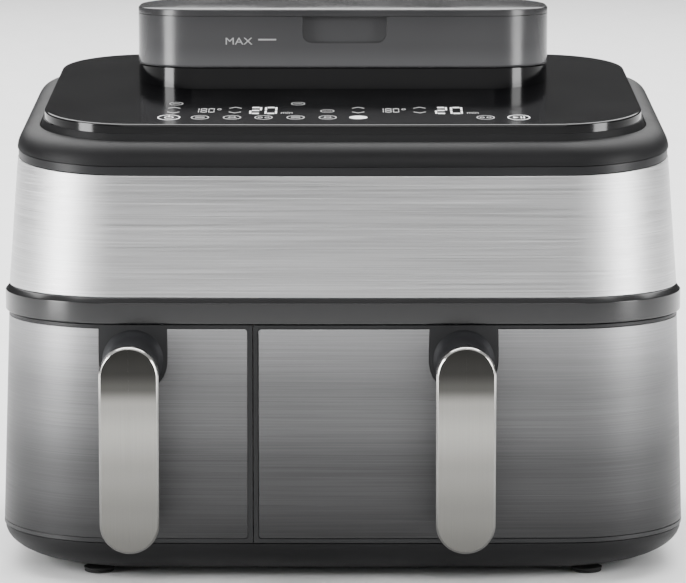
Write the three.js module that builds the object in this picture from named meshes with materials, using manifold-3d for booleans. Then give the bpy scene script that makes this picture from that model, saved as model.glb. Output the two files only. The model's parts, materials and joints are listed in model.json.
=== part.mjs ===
// Dual-drawer air fryer with a steam water tank on top.
// Millimetres, +Z up, the front faces -Y. The origin is on the table, under the middle of the whole object.

import * as THREE from 'three';
import { mergeVertices } from 'three/addons/utils/BufferGeometryUtils.js';
import Module from 'manifold-3d';

const wasm = await Module();
wasm.setup();

// ---------------------------------------------------------------- driving dimensions

const GAP = 0.3; // between pieces that touch
const SEAM = 0.5; // visible joint line between mouldings
const WIDTH = 448.4;
const BODY_DEPTH = 335;
const HANDLE_REACH = 48;
const CORNER_RADIUS = 78;
const CORNER_SHARPENING = 0.63; // how much of an inset comes off the corner radius
const FRONT_BULGE = 4.5;
const CORNER_STEPS = 6;
const FRONT_STEPS = 4;

const FOOT_HEIGHT = 3.2;
const FOOT_RADIUS = 10;
const FOOT_INSET_X = 65;
const FOOT_INSET_Y = 42;
const BASE_HEIGHT = 23; // from the feet to the drawer seam
const BASE_TUCK = 45; // how far the bottom curves in
const BASE_WALL = 2.6;
const DRAWER_HEIGHT = 141;
const BAND_HEIGHT = 17;
const UPPER_HEIGHT = 77.3;
const TRIM_HEIGHT = 5.9;
const SHOULDER_HEIGHT = 16;
const PLATE_SKIRT = 7.6;
const PLATE_INSET = 28.6;
const PLATE_WALL = 3;
const LOWER_LEAN = THREE.MathUtils.degToRad(1.9);
const TOP_TILT = THREE.MathUtils.degToRad(5.2);
const UPPER_FOOT_INSET = 5.1; // upper wall where it meets the band
const UPPER_HEAD_INSET = 11.4; // upper wall where it meets the trim
const BAND_INSET = 2.5;
const WRAP_DEPTH = 75; // how far the metal skins reach round the sides
const HOUSING_WALL = 2.5;
const SKIN = 1;

const DIVIDER_X = -57.5; // between the small and the large drawer
const DRAWER_WALL = 4.3;
const PANEL_BORDER_SIDE = 3.4;
const PANEL_BORDER_TOP = 2.6;
const PANEL_BORDER_BOTTOM = 3;
const PANEL_BORDER_SEAM = 2;
const PANEL_CORNER = 2;

const CHAMBER_SETBACK = 42; // from the front skin to the mouth of the cooking chambers
const CHAMBER_DEPTH = 201.5;
const CHAMBER_CORNER_CLEARANCE = 16.388; // from the skin's rounded corner to a chamber's square one
const CHAMBER_RISE = 17; // from the band's top to the chamber roofs
const MOUTH_DROP = 2; // from the band to the top of the chamber mouths
const CHAMBER_WALL = 1.2;
const DIVIDER_THICKNESS = 5.2;
const PAN_CLEARANCE = 3.4; // basket to chamber, each side
const PAN_MOUTH_CLEARANCE = 16.6; // from a basket's rim to the top of the mouth
const PAN_LIFT = 2.6; // off the chamber floor
const PAN_WALL = 1.6;
const PAN_CORNER = 24;
const PAN_DRAFT = 4;
const TRAY_HEIGHT = 12.5;
const TRAY_PLATE = 1.5;
const TRAY_CLEARANCE = 1.6;
const TRAY_SLOT = [5, 20];
const TRAY_PITCH = [17, 32];

const HANDLE_WIDTH = 37.4;
const HANDLE_TOP_GAP = 6.7; // below the band
const HANDLE_BOTTOM_GAP = 3; // above the drawer seam
const HANDLE_THICKNESS = 9;
const HANDLE_OFFSET = { left: 6.85, right: -6.35 }; // from the middle of the drawer's front
const HANDLE_CHAMFER = 2;
const BOSS_RADIUS = 20;
const BOSS_GAP = 3.4; // below the band
const NOTCH_CLEARANCE = 2; // round the boss
const NOTCH_FILLET = 2;
const HANDLE_SCREW_RADIUS = 2;
const HANDLE_SCREW_LENGTH = 22;

const TANK_WIDTH = 280;
const TANK_DEPTH = 115;
const TANK_HEIGHT = 34.7;
const TANK_CORNER = 45;
const TANK_WALL = 2;
const TANK_SETBACK = 30.8; // in front of the back edge of the top plate
const TANK_LIFT = 3.756; // above the top plate, at the back of the tank
const LID_RIM = 4.5;
const LID_CROWN = 2.4;
const LID_WALL = 2.4;
const SCOOP = { centre: 5, width: 51, height: 18, depth: 5 };
const HINGE = { radius: 3, pin: 1.2, offset: 4, middle: 20, end: 32 }; // at the back of the lid
const VALVE_X = -60;
const VALVE_RADIUS = 7;
const VALVE_CLEARANCE = 2;

const TOUCH_BOARD = { side: 45.6, front: 15.4, back: 12, thickness: 1.6 }; // margins to the plate and tank
const COIL_CLEARANCE = 15.9; // from the chamber walls to the middle of a coil's wire
const COIL_CLEARANCE_BY_GENERATOR = 51.4; // keeps the large duct clear of the steam generator
const COIL_DROP = 28.6; // below the chamber roof
const COIL_WIRE = 3.2;
const COIL_LEG = 9; // half the distance between a coil's legs
const FAN_DROP = 17;
const FAN_BLADES = 8;
const DUCT_HEIGHT = 24;
const MOTOR_RADIUS = 30;
const MOTOR_HEIGHT = 28;
const SHAFT_RADIUS = 3;
const GENERATOR = { offset: 28, setback: 30, half: [24, 40], height: 30 };
const PUMP = { setback: 62, radius: 17, height: 36 };
const POWER_BOARD = { width: 50, length: 160, margin: 6, lift: 6 };
const GLAND_RADIUS = 8;
const GLAND_SIDE = 104.2; // from the side of the housing
const GLAND_RISE = 25; // above the drawer seam
const GRILLE = { side: 119.2, width: 96, rise: 23, height: 44, slots: 7, bar: 2.4, rim: 5 };

// ---------------------------------------------------------------- levels and places worked out from them

const FRONT_Y = HANDLE_REACH - (BODY_DEPTH + HANDLE_REACH) / 2;
const BACK_Y = FRONT_Y + BODY_DEPTH;
const SEAM_Y = FRONT_Y + WRAP_DEPTH;
const BASE_Z = FOOT_HEIGHT + GAP;
const DRAWER_Z = BASE_Z + BASE_HEIGHT + SEAM;
const BAND_Z = DRAWER_Z + DRAWER_HEIGHT;
const UPPER_Z = BAND_Z + BAND_HEIGHT;
const TRIM_Z = UPPER_Z + UPPER_HEIGHT;
const SHOULDER_Z = TRIM_Z + TRIM_HEIGHT;
const PLATE_Z = SHOULDER_Z + SHOULDER_HEIGHT;
const PLATE_TOP_Z = PLATE_Z + PLATE_SKIRT;
const SLOPE = Math.tan(TOP_TILT);
const SLOPE_Y = FRONT_Y + UPPER_HEAD_INSET; // where a sloping level has its stated height
const CHASSIS_Z = DRAWER_Z - GAP;
const CHASSIS_THICKNESS = 2.6;
const CHAMBER_Z = CHASSIS_Z + CHASSIS_THICKNESS + GAP;
const CHAMBER_Y = FRONT_Y + CHAMBER_SETBACK;
const CHAMBER_BACK = CHAMBER_Y + CHAMBER_DEPTH;
const CHAMBER_MOUTH_TOP = BAND_Z - MOUTH_DROP;
const CHAMBER_MIDDLE_Y = (CHAMBER_Y + CHAMBER_BACK) / 2;
const CHAMBER_ROOF = UPPER_Z + CHAMBER_RISE;
const PAN_Z = CHAMBER_Z + CHAMBER_WALL + PAN_LIFT;
const PAN_TOP = CHAMBER_MOUTH_TOP - PAN_MOUTH_CLEARANCE;
const COIL_Z = CHAMBER_ROOF - COIL_DROP;
const FAN_Z = CHAMBER_ROOF - CHAMBER_WALL - FAN_DROP;
const DUCT_Z = CHAMBER_ROOF + GAP;
const MOTOR_Z = DUCT_Z + DUCT_HEIGHT + GAP;
const DRAWER_TOP = BAND_Z - SEAM;
const PANEL_TOP = DRAWER_TOP - PANEL_BORDER_TOP;
const PANEL_BOTTOM = DRAWER_Z + PANEL_BORDER_BOTTOM;
const BAR_FRONT = FRONT_Y - HANDLE_REACH;
const BAR_BACK = BAR_FRONT + HANDLE_THICKNESS;
const BAR_BOTTOM = DRAWER_Z + HANDLE_BOTTOM_GAP;
const BAR_TOP = BAND_Z - HANDLE_TOP_GAP;
const ARM_Z = BAR_TOP - HANDLE_WIDTH / 2;
const BOSS_Z = BAND_Z - BOSS_GAP - BOSS_RADIUS;
const NOTCH_RADIUS = BOSS_RADIUS + NOTCH_CLEARANCE;
const TANK_BACK = BACK_Y - PLATE_INSET - TANK_SETBACK;
const TANK_FRONT = TANK_BACK - TANK_DEPTH;
const TANK_MIDDLE_Y = (TANK_FRONT + TANK_BACK) / 2;
const platePoint = (y) => PLATE_TOP_Z + SLOPE * (y - SLOPE_Y);
const TANK_FLOOR_Z = platePoint(TANK_BACK) + TANK_LIFT;
const TANK_TOP_Z = TANK_FLOOR_Z + TANK_HEIGHT;
const LID_Z = TANK_TOP_Z + GAP;
const HINGE_Y = TANK_BACK + HINGE.offset;
const HINGE_Z = LID_Z + 1;
const GLAND_X = WIDTH / 2 - GLAND_SIDE;
const GLAND_Z = DRAWER_Z + GLAND_RISE;
const GRILLE_X = WIDTH / 2 - GRILLE.side;
const GRILLE_BOTTOM = UPPER_Z + GRILLE.rise;
const GRILLE_TOP = GRILLE_BOTTOM + GRILLE.height;
const FAR = 600; // beyond the object on any side

// A chamber's front corner is square and has to stay inside the skin's rounded corner.
const cornerReach = CORNER_RADIUS - CHAMBER_CORNER_CLEARANCE;
const chamberSide = CORNER_RADIUS - Math.sqrt(cornerReach ** 2 - (CORNER_RADIUS - CHAMBER_SETBACK) ** 2);
const edgeX = WIDTH / 2 - chamberSide;
const liningGap = DIVIDER_THICKNESS / 2 + GAP;
const middleOf = ([a, b]) => (a + b) / 2;

// A coil keeps its clearance to the nearest chamber walls.
const coilRadiusIn = ([x0, x1], sideClearance) =>
  Math.min((x1 - x0) / 2 - sideClearance, CHAMBER_DEPTH / 2 - COIL_CLEARANCE);

const leftChamber = [-edgeX, DIVIDER_X - liningGap];
const rightChamber = [DIVIDER_X + liningGap, edgeX];
const leftCoil = coilRadiusIn(leftChamber, COIL_CLEARANCE);
const rightCoil = coilRadiusIn(rightChamber, COIL_CLEARANCE_BY_GENERATOR);
const SIDES = {
  left: {
    skin: [-FAR, DIVIDER_X - SEAM / 2],
    chamber: leftChamber,
    handleX: middleOf([-WIDTH / 2, DIVIDER_X]) + HANDLE_OFFSET.left,
    border: [0, PANEL_BORDER_SIDE],
    coilRadius: leftCoil,
    fanRadius: leftCoil - 6,
    ductRadius: leftCoil - 5.5,
  },
  right: {
    skin: [DIVIDER_X + SEAM / 2, FAR],
    chamber: rightChamber,
    handleX: middleOf([DIVIDER_X, WIDTH / 2]) + HANDLE_OFFSET.right,
    border: [PANEL_BORDER_SIDE, 0],
    coilRadius: rightCoil,
    fanRadius: rightCoil - 16,
    ductRadius: rightCoil - 12,
  },
};
const GENERATOR_X = leftChamber[1] + GENERATOR.offset;
const GENERATOR_Y = CHAMBER_MIDDLE_Y - GENERATOR.setback;
const PUMP_Y = CHAMBER_MIDDLE_Y + PUMP.setback;

// ---------------------------------------------------------------- geometry helpers

function toSolid(geometry) {
  const bare = geometry.clone();
  bare.deleteAttribute('normal');
  bare.deleteAttribute('uv');
  const merged = mergeVertices(bare, 1e-4);
  const vertProperties = new Float32Array(merged.attributes.position.array);
  const triVerts = new Uint32Array(merged.index.array);
  return new wasm.Manifold(new wasm.Mesh({ numProp: 3, vertProperties, triVerts }));
}

function toGeometry(solid) {
  const mesh = solid.getMesh();
  const geometry = new THREE.BufferGeometry();
  geometry.setAttribute('position', new THREE.BufferAttribute(mesh.vertProperties, 3));
  geometry.setIndex(new THREE.BufferAttribute(mesh.triVerts, 1));
  return geometry;
}

const join = (first, ...others) =>
  toGeometry(others.reduce((solid, other) => solid.add(toSolid(other)), toSolid(first)));
const cut = (first, ...others) =>
  toGeometry(others.reduce((solid, other) => solid.subtract(toSolid(other)), toSolid(first)));
const overlap = (first, ...others) =>
  toGeometry(others.reduce((solid, other) => solid.intersect(toSolid(other)), toSolid(first)));

function box([x0, x1], [y0, y1], [z0, z1]) {
  const geometry = new THREE.BoxGeometry(x1 - x0, y1 - y0, z1 - z0);
  return geometry.translate((x0 + x1) / 2, (y0 + y1) / 2, (z0 + z1) / 2);
}

function upright(radius, x, y, [z0, z1], sides = 20) {
  const geometry = new THREE.CylinderGeometry(radius, radius, z1 - z0, sides);
  return geometry.rotateX(Math.PI / 2).translate(x, y, (z0 + z1) / 2);
}

function alongX(radius, [x0, x1], y, z, sides = 16) {
  const geometry = new THREE.CylinderGeometry(radius, radius, x1 - x0, sides);
  return geometry.rotateZ(Math.PI / 2).translate((x0 + x1) / 2, y, z);
}

function alongY(radius, x, z, [y0, y1], sides = 20) {
  return new THREE.CylinderGeometry(radius, radius, y1 - y0, sides).translate(x, (y0 + y1) / 2, z);
}

// A turned piece about a vertical axis; profile is a closed run of [radius, height] pairs, or one that
// starts and ends on the axis.
function turned(profile, x, y, sides = 24) {
  const points = profile.map(([radius, height]) => new THREE.Vector2(radius, height));
  return new THREE.LatheGeometry(points, sides).rotateX(Math.PI / 2).translate(x, y, 0);
}

// Skins a run of rings that all have the same number of points. A closed run makes a hollow frame, and an
// open one gets a flat cap at each end.
function loft(rings, closed = false) {
  const count = rings[0].length;
  const positions = rings.flat().flatMap((p) => [p.x, p.y, p.z]);
  const faces = [];
  const spans = closed ? rings.length : rings.length - 1;
  for (let k = 0; k < spans; k++) {
    const a = k * count;
    const b = ((k + 1) % rings.length) * count;
    for (let i = 0; i < count; i++) {
      const j = (i + 1) % count;
      faces.push(a + i, a + j, b + j, a + i, b + j, b + i);
    }
  }
  if (!closed) {
    const last = (rings.length - 1) * count;
    for (let i = 1; i < count - 1; i++) {
      faces.push(0, i + 1, i, last, last + i, last + i + 1);
    }
  }
  const geometry = new THREE.BufferGeometry();
  geometry.setAttribute('position', new THREE.Float32BufferAttribute(positions, 3));
  geometry.setIndex(faces);
  return geometry;
}

// A rounded rectangle in plan, anticlockwise from above, whose front edge may bow out.
function roundedPlan({ x0, x1, front, back, radius, steps = CORNER_STEPS, bulge = 0 }) {
  const corners = [
    [x1 - radius, front + radius, -90],
    [x1 - radius, back - radius, 0],
    [x0 + radius, back - radius, 90],
    [x0 + radius, front + radius, 180],
  ];
  const points = [];
  for (const [cx, cy, start] of corners) {
    for (let i = 0; i <= steps; i++) {
      const angle = THREE.MathUtils.degToRad(start + (90 * i) / steps);
      points.push(new THREE.Vector2(cx + radius * Math.cos(angle), cy + radius * Math.sin(angle)));
    }
  }
  for (let i = 1; bulge && i < FRONT_STEPS; i++) {
    const t = i / FRONT_STEPS;
    points.push(new THREE.Vector2(THREE.MathUtils.lerp(x0 + radius, x1 - radius, t), front));
  }
  const middle = (front + back) / 2;
  for (const p of points) {
    if (p.y < middle) p.y += bulge * (p.x / (WIDTH / 2)) ** 2;
  }
  return points;
}

const level = (plan, z, slope = 0) =>
  plan.map((p) => new THREE.Vector3(p.x, p.y, z + slope * (p.y - SLOPE_Y)));

// The appliance's own outline, drawn in from the widest skin by an inset.
function bodyPlan(inset) {
  return roundedPlan({
    x0: inset - WIDTH / 2,
    x1: WIDTH / 2 - inset,
    front: FRONT_Y + inset,
    back: BACK_Y - inset,
    radius: CORNER_RADIUS - CORNER_SHARPENING * inset,
    bulge: FRONT_BULGE,
  });
}

const flatRing = ([inset, z]) => level(bodyPlan(inset), z);
const slopingRing = ([inset, z]) => level(bodyPlan(inset), z, SLOPE);

const lowerInset = (z) => (z - DRAWER_Z) * Math.tan(LOWER_LEAN);

function lowerSolid(inset) {
  return loft([DRAWER_Z, BAND_Z].map((z) => flatRing([inset + lowerInset(z), z])));
}

function lowerShell(outer, inner, bottom, top) {
  const run = [[outer, bottom], [outer, top], [inner, top], [inner, bottom]];
  return loft(run.map(([inset, z]) => flatRing([inset + lowerInset(z), z])), true);
}

function upperShell(outer, inner) {
  const foot = UPPER_Z + SEAM / 2;
  const head = TRIM_Z - SEAM / 2;
  return loft([
    flatRing([UPPER_FOOT_INSET + outer, foot]),
    slopingRing([UPPER_HEAD_INSET + outer, head]),
    slopingRing([UPPER_HEAD_INSET + inner, head]),
    flatRing([UPPER_FOOT_INSET + inner, foot]),
  ], true);
}

// Everything from the drawer seam up to the trim, as one wall.
function housingShell(outer, inner) {
  const corners = (offset) => [
    flatRing([offset + lowerInset(DRAWER_Z), DRAWER_Z]),
    flatRing([offset + lowerInset(BAND_Z), BAND_Z]),
    flatRing([offset + UPPER_FOOT_INSET, UPPER_Z]),
    slopingRing([offset + UPPER_HEAD_INSET, TRIM_Z - SEAM / 2]),
  ];
  return loft([...corners(outer), ...corners(inner).reverse()], true);
}

const frontOfSeam = (rim = 0) => box([-FAR, FAR], [-FAR, SEAM_Y - GAP / 2 - rim], [-1, FAR]);
const behindSeam = () => box([-FAR, FAR], [SEAM_Y + GAP / 2, FAR], [-1, FAR]);

// A polygon whose corners are rounded, each by its own radius: points are [x, y, radius].
function filletedShape(points, steps = 6) {
  const shape = new THREE.Shape();
  points.forEach(([x, y, radius], i) => {
    const corner = new THREE.Vector2(x, y);
    const before = new THREE.Vector2(...points.at(i - 1)).sub(corner).normalize();
    const after = new THREE.Vector2(...points[(i + 1) % points.length]).sub(corner).normalize();
    const half = Math.acos(before.dot(after)) / 2;
    const reach = radius / Math.tan(half);
    const start = corner.clone().addScaledVector(before, reach);
    const end = corner.clone().addScaledVector(after, reach);
    const inward = before.clone().add(after).normalize();
    const centre = corner.clone().addScaledVector(inward, radius / Math.sin(half));
    for (let k = 0; k <= (radius ? steps : 0); k++) {
      const point = start.clone().lerp(end, radius ? k / steps : 0);
      if (radius) point.sub(centre).setLength(radius).add(centre);
      if (i || k) shape.lineTo(point.x, point.y);
      else shape.moveTo(point.x, point.y);
    }
  });
  shape.closePath();
  return shape;
}

// Extrudes a shape drawn in X and Z along Y.
function extrudedAlongY(shape, [y0, y1]) {
  const geometry = new THREE.ExtrudeGeometry(shape, { depth: y1 - y0, bevelEnabled: false });
  return geometry.rotateX(Math.PI / 2).translate(0, y1, 0);
}

function hose(points, radius, steps, sides = 8) {
  const path = new THREE.CatmullRomCurve3(points.map((p) => new THREE.Vector3(...p)));
  const section = new THREE.Shape();
  for (let i = 0; i < sides; i++) {
    const angle = (2 * Math.PI * i) / sides;
    const point = [radius * Math.cos(angle), radius * Math.sin(angle)];
    if (i) section.lineTo(...point);
    else section.moveTo(...point);
  }
  return new THREE.ExtrudeGeometry(section, { steps, extrudePath: path, bevelEnabled: false });
}

// ---------------------------------------------------------------- base

const footPlaces = {
  front_left: [FOOT_INSET_X - WIDTH / 2, FRONT_Y + FOOT_INSET_Y],
  front_right: [WIDTH / 2 - FOOT_INSET_X, FRONT_Y + FOOT_INSET_Y],
  rear_left: [FOOT_INSET_X - WIDTH / 2, BACK_Y - FOOT_INSET_Y],
  rear_right: [WIDTH / 2 - FOOT_INSET_X, BACK_Y - FOOT_INSET_Y],
};

// The bowl is a quarter of an ellipse in section, with a flat bottom.
function basePan() {
  const arcSteps = 4;
  const arc = (wall) => Array.from({ length: arcSteps + 1 }, (_, i) => {
    const angle = (Math.PI / 2) * (i / arcSteps);
    const inset = BASE_TUCK * (1 - Math.sin(angle)) + wall * Math.sin(angle) ** 2 + 0.6;
    return [inset, BASE_Z + wall + (BASE_HEIGHT - wall) * (1 - Math.cos(angle))];
  });
  const rings = [...arc(0), ...arc(BASE_WALL).reverse()].map(flatRing);
  const seats = Object.values(footPlaces).map(([x, y]) =>
    upright(FOOT_RADIUS + 2, x, y, [BASE_Z, BASE_Z + 6]));
  const posts = Object.values(footPlaces).map(([x, y]) =>
    upright(7, x * 0.8, y * 0.8, [BASE_Z + 1, CHASSIS_Z - GAP], 12));
  return join(loft(rings), ...seats, ...posts);
}

function foot(x, y) {
  const profile = [
    [0, 0], [FOOT_RADIUS - 1.5, 0], [FOOT_RADIUS - 0.4, 1], [FOOT_RADIUS, FOOT_HEIGHT], [0, FOOT_HEIGHT],
  ];
  return turned(profile, x, y, 20);
}

function chassisFloor() {
  const inset = DRAWER_WALL + 5;
  return loft([flatRing([inset, CHASSIS_Z]), flatRing([inset, CHASSIS_Z + CHASSIS_THICKNESS])]);
}

// ---------------------------------------------------------------- housing

const grilleWindow = (side, grow) => box(
  [side * GRILLE_X - GRILLE.width / 2 - grow, side * GRILLE_X + GRILLE.width / 2 + grow],
  [BACK_Y - 30, BACK_Y + 5],
  [GRILLE_BOTTOM - grow, GRILLE_TOP + grow],
);

function rearHousing() {
  const shell = overlap(housingShell(0, HOUSING_WALL), behindSeam());
  const glandHole = alongY(GLAND_RADIUS + GAP, GLAND_X, GLAND_Z, [BACK_Y - 20, BACK_Y + 5]);
  return cut(shell, grilleWindow(-1, GAP), grilleWindow(1, GAP), glandHole);
}

function exhaustGrille(side) {
  const panel = overlap(housingShell(0, HOUSING_WALL), grilleWindow(side, 0));
  const pitch = (GRILLE.height - 2 * GRILLE.rim + GRILLE.bar) / GRILLE.slots;
  const reach = GRILLE.width / 2 - GRILLE.rim;
  const slots = Array.from({ length: GRILLE.slots }, (_, i) => {
    const z = GRILLE_BOTTOM + GRILLE.rim + i * pitch;
    return box(
      [side * GRILLE_X - reach, side * GRILLE_X + reach],
      [BACK_Y - 40, BACK_Y + 9],
      [z, z + pitch - GRILLE.bar],
    );
  });
  return cut(panel, ...slots);
}

function cordGland() {
  const wallY = BACK_Y - lowerInset(GLAND_Z);
  const innerY = wallY - HOUSING_WALL;
  const flange = alongY(GLAND_RADIUS + 3, GLAND_X, GLAND_Z, [innerY - 4, innerY - 1]);
  const barrel = alongY(GLAND_RADIUS, GLAND_X, GLAND_Z, [innerY - 2, wallY - 0.5]);
  const passage = alongY(GLAND_RADIUS / 2, GLAND_X, GLAND_Z, [wallY - 20, wallY + 5], 12);
  return cut(join(flange, barrel), passage);
}

const upperSkin = () => overlap(upperShell(0, SKIN), frontOfSeam());
const frontCarcass = () => overlap(upperShell(SKIN + GAP, SKIN + GAP + HOUSING_WALL), frontOfSeam());

function midBand() {
  const inner = UPPER_FOOT_INSET + 4;
  const bottom = BAND_Z + GAP;
  const top = UPPER_Z - SEAM / 2;
  const rings = [
    [BAND_INSET + 1, bottom], [BAND_INSET, bottom + 1], [BAND_INSET, top - 3], [UPPER_FOOT_INSET, top],
    [inner, top], [inner, bottom],
  ];
  return overlap(loft(rings.map(flatRing), true), frontOfSeam());
}

// ---------------------------------------------------------------- top

function shoulderTrim() {
  const outer = UPPER_HEAD_INSET + 0.4;
  const inner = outer + 3.4;
  const bottom = TRIM_Z;
  const top = SHOULDER_Z - GAP;
  return loft([[outer, bottom], [outer, top], [inner, top], [inner, bottom]].map(slopingRing), true);
}

// A rolled shoulder that turns into the ledge on which the top plate rests.
function topShoulder() {
  const outer = UPPER_HEAD_INSET - 0.2;
  const roll = PLATE_INSET - 3.5 - outer;
  const rise = SHOULDER_HEIGHT - 2.2;
  const outside = Array.from({ length: 6 }, (_, i) => {
    const angle = (Math.PI / 2) * (i / 5);
    return [outer + roll * (1 - Math.cos(angle)), SHOULDER_Z + rise * Math.sin(angle)];
  });
  const ledge = [
    [PLATE_INSET - 2.2, SHOULDER_Z + rise - 1.8], [PLATE_INSET + 1.5, PLATE_Z - GAP],
    [PLATE_INSET + 12, PLATE_Z - GAP], [PLATE_INSET + 12, PLATE_Z - GAP - 2.4],
    [PLATE_INSET - 1, SHOULDER_Z + rise - 4.5], [outer + 4.5, SHOULDER_Z + 6], [outer + 3, SHOULDER_Z],
  ];
  return loft([...outside, ...ledge].map(slopingRing), true);
}

function topPlate() {
  const inner = PLATE_INSET + PLATE_WALL;
  const ceiling = PLATE_TOP_Z - PLATE_WALL;
  const rings = [
    [inner, ceiling], [inner, PLATE_Z], [PLATE_INSET + 0.4, PLATE_Z], [PLATE_INSET, PLATE_Z + 0.6],
    [PLATE_INSET, PLATE_TOP_Z - 1], [PLATE_INSET + 1.2, PLATE_TOP_Z],
  ];
  const hole = upright(VALVE_RADIUS - 0.4, VALVE_X, TANK_MIDDLE_Y, [PLATE_Z, PLATE_TOP_Z + 60]);
  return cut(loft(rings.map(slopingRing)), hole);
}

function touchBoard() {
  const half = WIDTH / 2 - PLATE_INSET - TOUCH_BOARD.side;
  const front = FRONT_Y + PLATE_INSET + TOUCH_BOARD.front;
  const back = TANK_FRONT - TOUCH_BOARD.back;
  const plan = roundedPlan({ x0: -half, x1: half, front, back, radius: 4, steps: 2 });
  const top = PLATE_TOP_Z - PLATE_WALL - GAP;
  return loft([level(plan, top - TOUCH_BOARD.thickness, SLOPE), level(plan, top, SLOPE)]);
}

const tankPlan = (inset, steps = CORNER_STEPS) => roundedPlan({
  x0: inset - TANK_WIDTH / 2,
  x1: TANK_WIDTH / 2 - inset,
  front: TANK_FRONT + inset,
  back: TANK_BACK - inset,
  radius: TANK_CORNER - inset,
  steps,
});

function tankDock() {
  const seat = PLATE_TOP_Z + GAP;
  const block = loft([
    level(tankPlan(-1.2), seat, SLOPE),
    level(tankPlan(0), seat + 1.2, SLOPE),
    level(tankPlan(0), TANK_FLOOR_Z - GAP),
  ]);
  const bore = upright(VALVE_RADIUS + VALVE_CLEARANCE, VALVE_X, TANK_MIDDLE_Y, [PLATE_Z, TANK_FLOOR_Z + 9]);
  return cut(block, bore);
}

function dockValve() {
  const flangeZ = platePoint(TANK_MIDDLE_Y) + 1.2;
  const flange = VALVE_RADIUS + VALVE_CLEARANCE - GAP;
  const spigot = VALVE_RADIUS - 1;
  const profile = [
    [2.5, flangeZ - 16], [spigot, flangeZ - 16], [spigot, flangeZ], [flange, flangeZ], [flange, flangeZ + 2],
    [2.5, flangeZ + 2], [2.5, flangeZ - 16],
  ];
  return turned(profile, VALVE_X, TANK_MIDDLE_Y, 20);
}

// ---------------------------------------------------------------- water tank

const scoopBlock = (grow) => {
  const half = SCOOP.width / 2 + grow;
  const top = TANK_TOP_Z + 9;
  const bottom = TANK_TOP_Z - SCOOP.height - grow;
  const outline = filletedShape([
    [SCOOP.centre - half, top, 0], [SCOOP.centre - half, bottom, 7 + grow],
    [SCOOP.centre + half, bottom, 7 + grow], [SCOOP.centre + half, top, 0],
  ], 4);
  return extrudedAlongY(outline, [TANK_FRONT - 9, TANK_FRONT + SCOOP.depth + grow]);
};

// One knuckle of the lid hinge with the web that carries it.
function knuckle([x0, x1], webHeights) {
  const web = box([x0, x1], [TANK_BACK - 1, HINGE_Y], webHeights);
  return [alongX(HINGE.radius, [x0, x1], HINGE_Y, HINGE_Z), web];
}

const hingeBore = () => alongX(HINGE.pin + GAP, [-HINGE.end - 1, HINGE.end + 1], HINGE_Y, HINGE_Z);
const hingePin = () => alongX(HINGE.pin, [-HINGE.end, HINGE.end], HINGE_Y, HINGE_Z, 12);

function waterTank() {
  const top = TANK_TOP_Z;
  const webHeights = [top - 8, top - 0.1];
  const knuckles = [-1, 1].flatMap((side) =>
    knuckle([side * HINGE.middle, side * HINGE.end].sort((a, b) => a - b), webHeights));
  const outside = loft([
    level(tankPlan(1), TANK_FLOOR_Z), level(tankPlan(0), TANK_FLOOR_Z + 1), level(tankPlan(0), top),
  ]);
  const hollow = loft([
    level(tankPlan(TANK_WALL + 3), TANK_FLOOR_Z + TANK_WALL),
    level(tankPlan(TANK_WALL), TANK_FLOOR_Z + TANK_WALL + 3),
    level(tankPlan(TANK_WALL), top + 9),
  ]);
  const shell = cut(outside, cut(hollow, scoopBlock(TANK_WALL)), scoopBlock(0));
  return cut(join(shell, ...knuckles), hingeBore());
}

function tankLid() {
  const rim = LID_Z + LID_RIM;
  const reach = HINGE.middle - GAP;
  const shell = loft([
    level(tankPlan(LID_WALL), rim - 1.2),
    level(tankPlan(LID_WALL), LID_Z),
    level(tankPlan(0), LID_Z),
    level(tankPlan(0), rim - 1),
    level(tankPlan(1.2), rim),
    level(tankPlan(18), rim + LID_CROWN),
  ]);
  return cut(join(shell, ...knuckle([-reach, reach], [LID_Z, LID_Z + HINGE.radius])), hingeBore());
}

function tankValve() {
  const profile = [
    [0, TANK_FLOOR_Z - 4.6], [VALVE_RADIUS - 2.5, TANK_FLOOR_Z - 4.6], [VALVE_RADIUS, TANK_FLOOR_Z - 2],
    [VALVE_RADIUS, TANK_FLOOR_Z - GAP], [0, TANK_FLOOR_Z - GAP],
  ];
  return turned(profile, VALVE_X, TANK_MIDDLE_Y, 20);
}

// ---------------------------------------------------------------- cooking chambers

function cavityLiner({ chamber, coilRadius }) {
  const wall = CHAMBER_WALL;
  const centre = middleOf(chamber);
  const inner = [chamber[0] + wall, chamber[1] - wall];
  const floor = CHAMBER_Z + wall;
  const throughRoof = [CHAMBER_ROOF - 9, CHAMBER_ROOF + 9];
  const outside = box(chamber, [CHAMBER_Y, CHAMBER_BACK], [CHAMBER_Z, CHAMBER_ROOF]);
  const inside = box(inner, [CHAMBER_Y + wall, CHAMBER_BACK - wall], [floor, CHAMBER_ROOF - wall]);
  const mouth = box(inner, [CHAMBER_Y - 9, CHAMBER_Y + 9], [floor, CHAMBER_MOUTH_TOP]);
  const shaftHole = upright(SHAFT_RADIUS + 2, centre, CHAMBER_MIDDLE_Y, throughRoof, 12);
  const coilHoles = [-1, 1].map((side) =>
    upright(COIL_WIRE + 1.2, centre + side * COIL_LEG, CHAMBER_MIDDLE_Y + coilRadius, throughRoof, 10));
  return cut(outside, inside, mouth, shaftHole, ...coilHoles);
}

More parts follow.
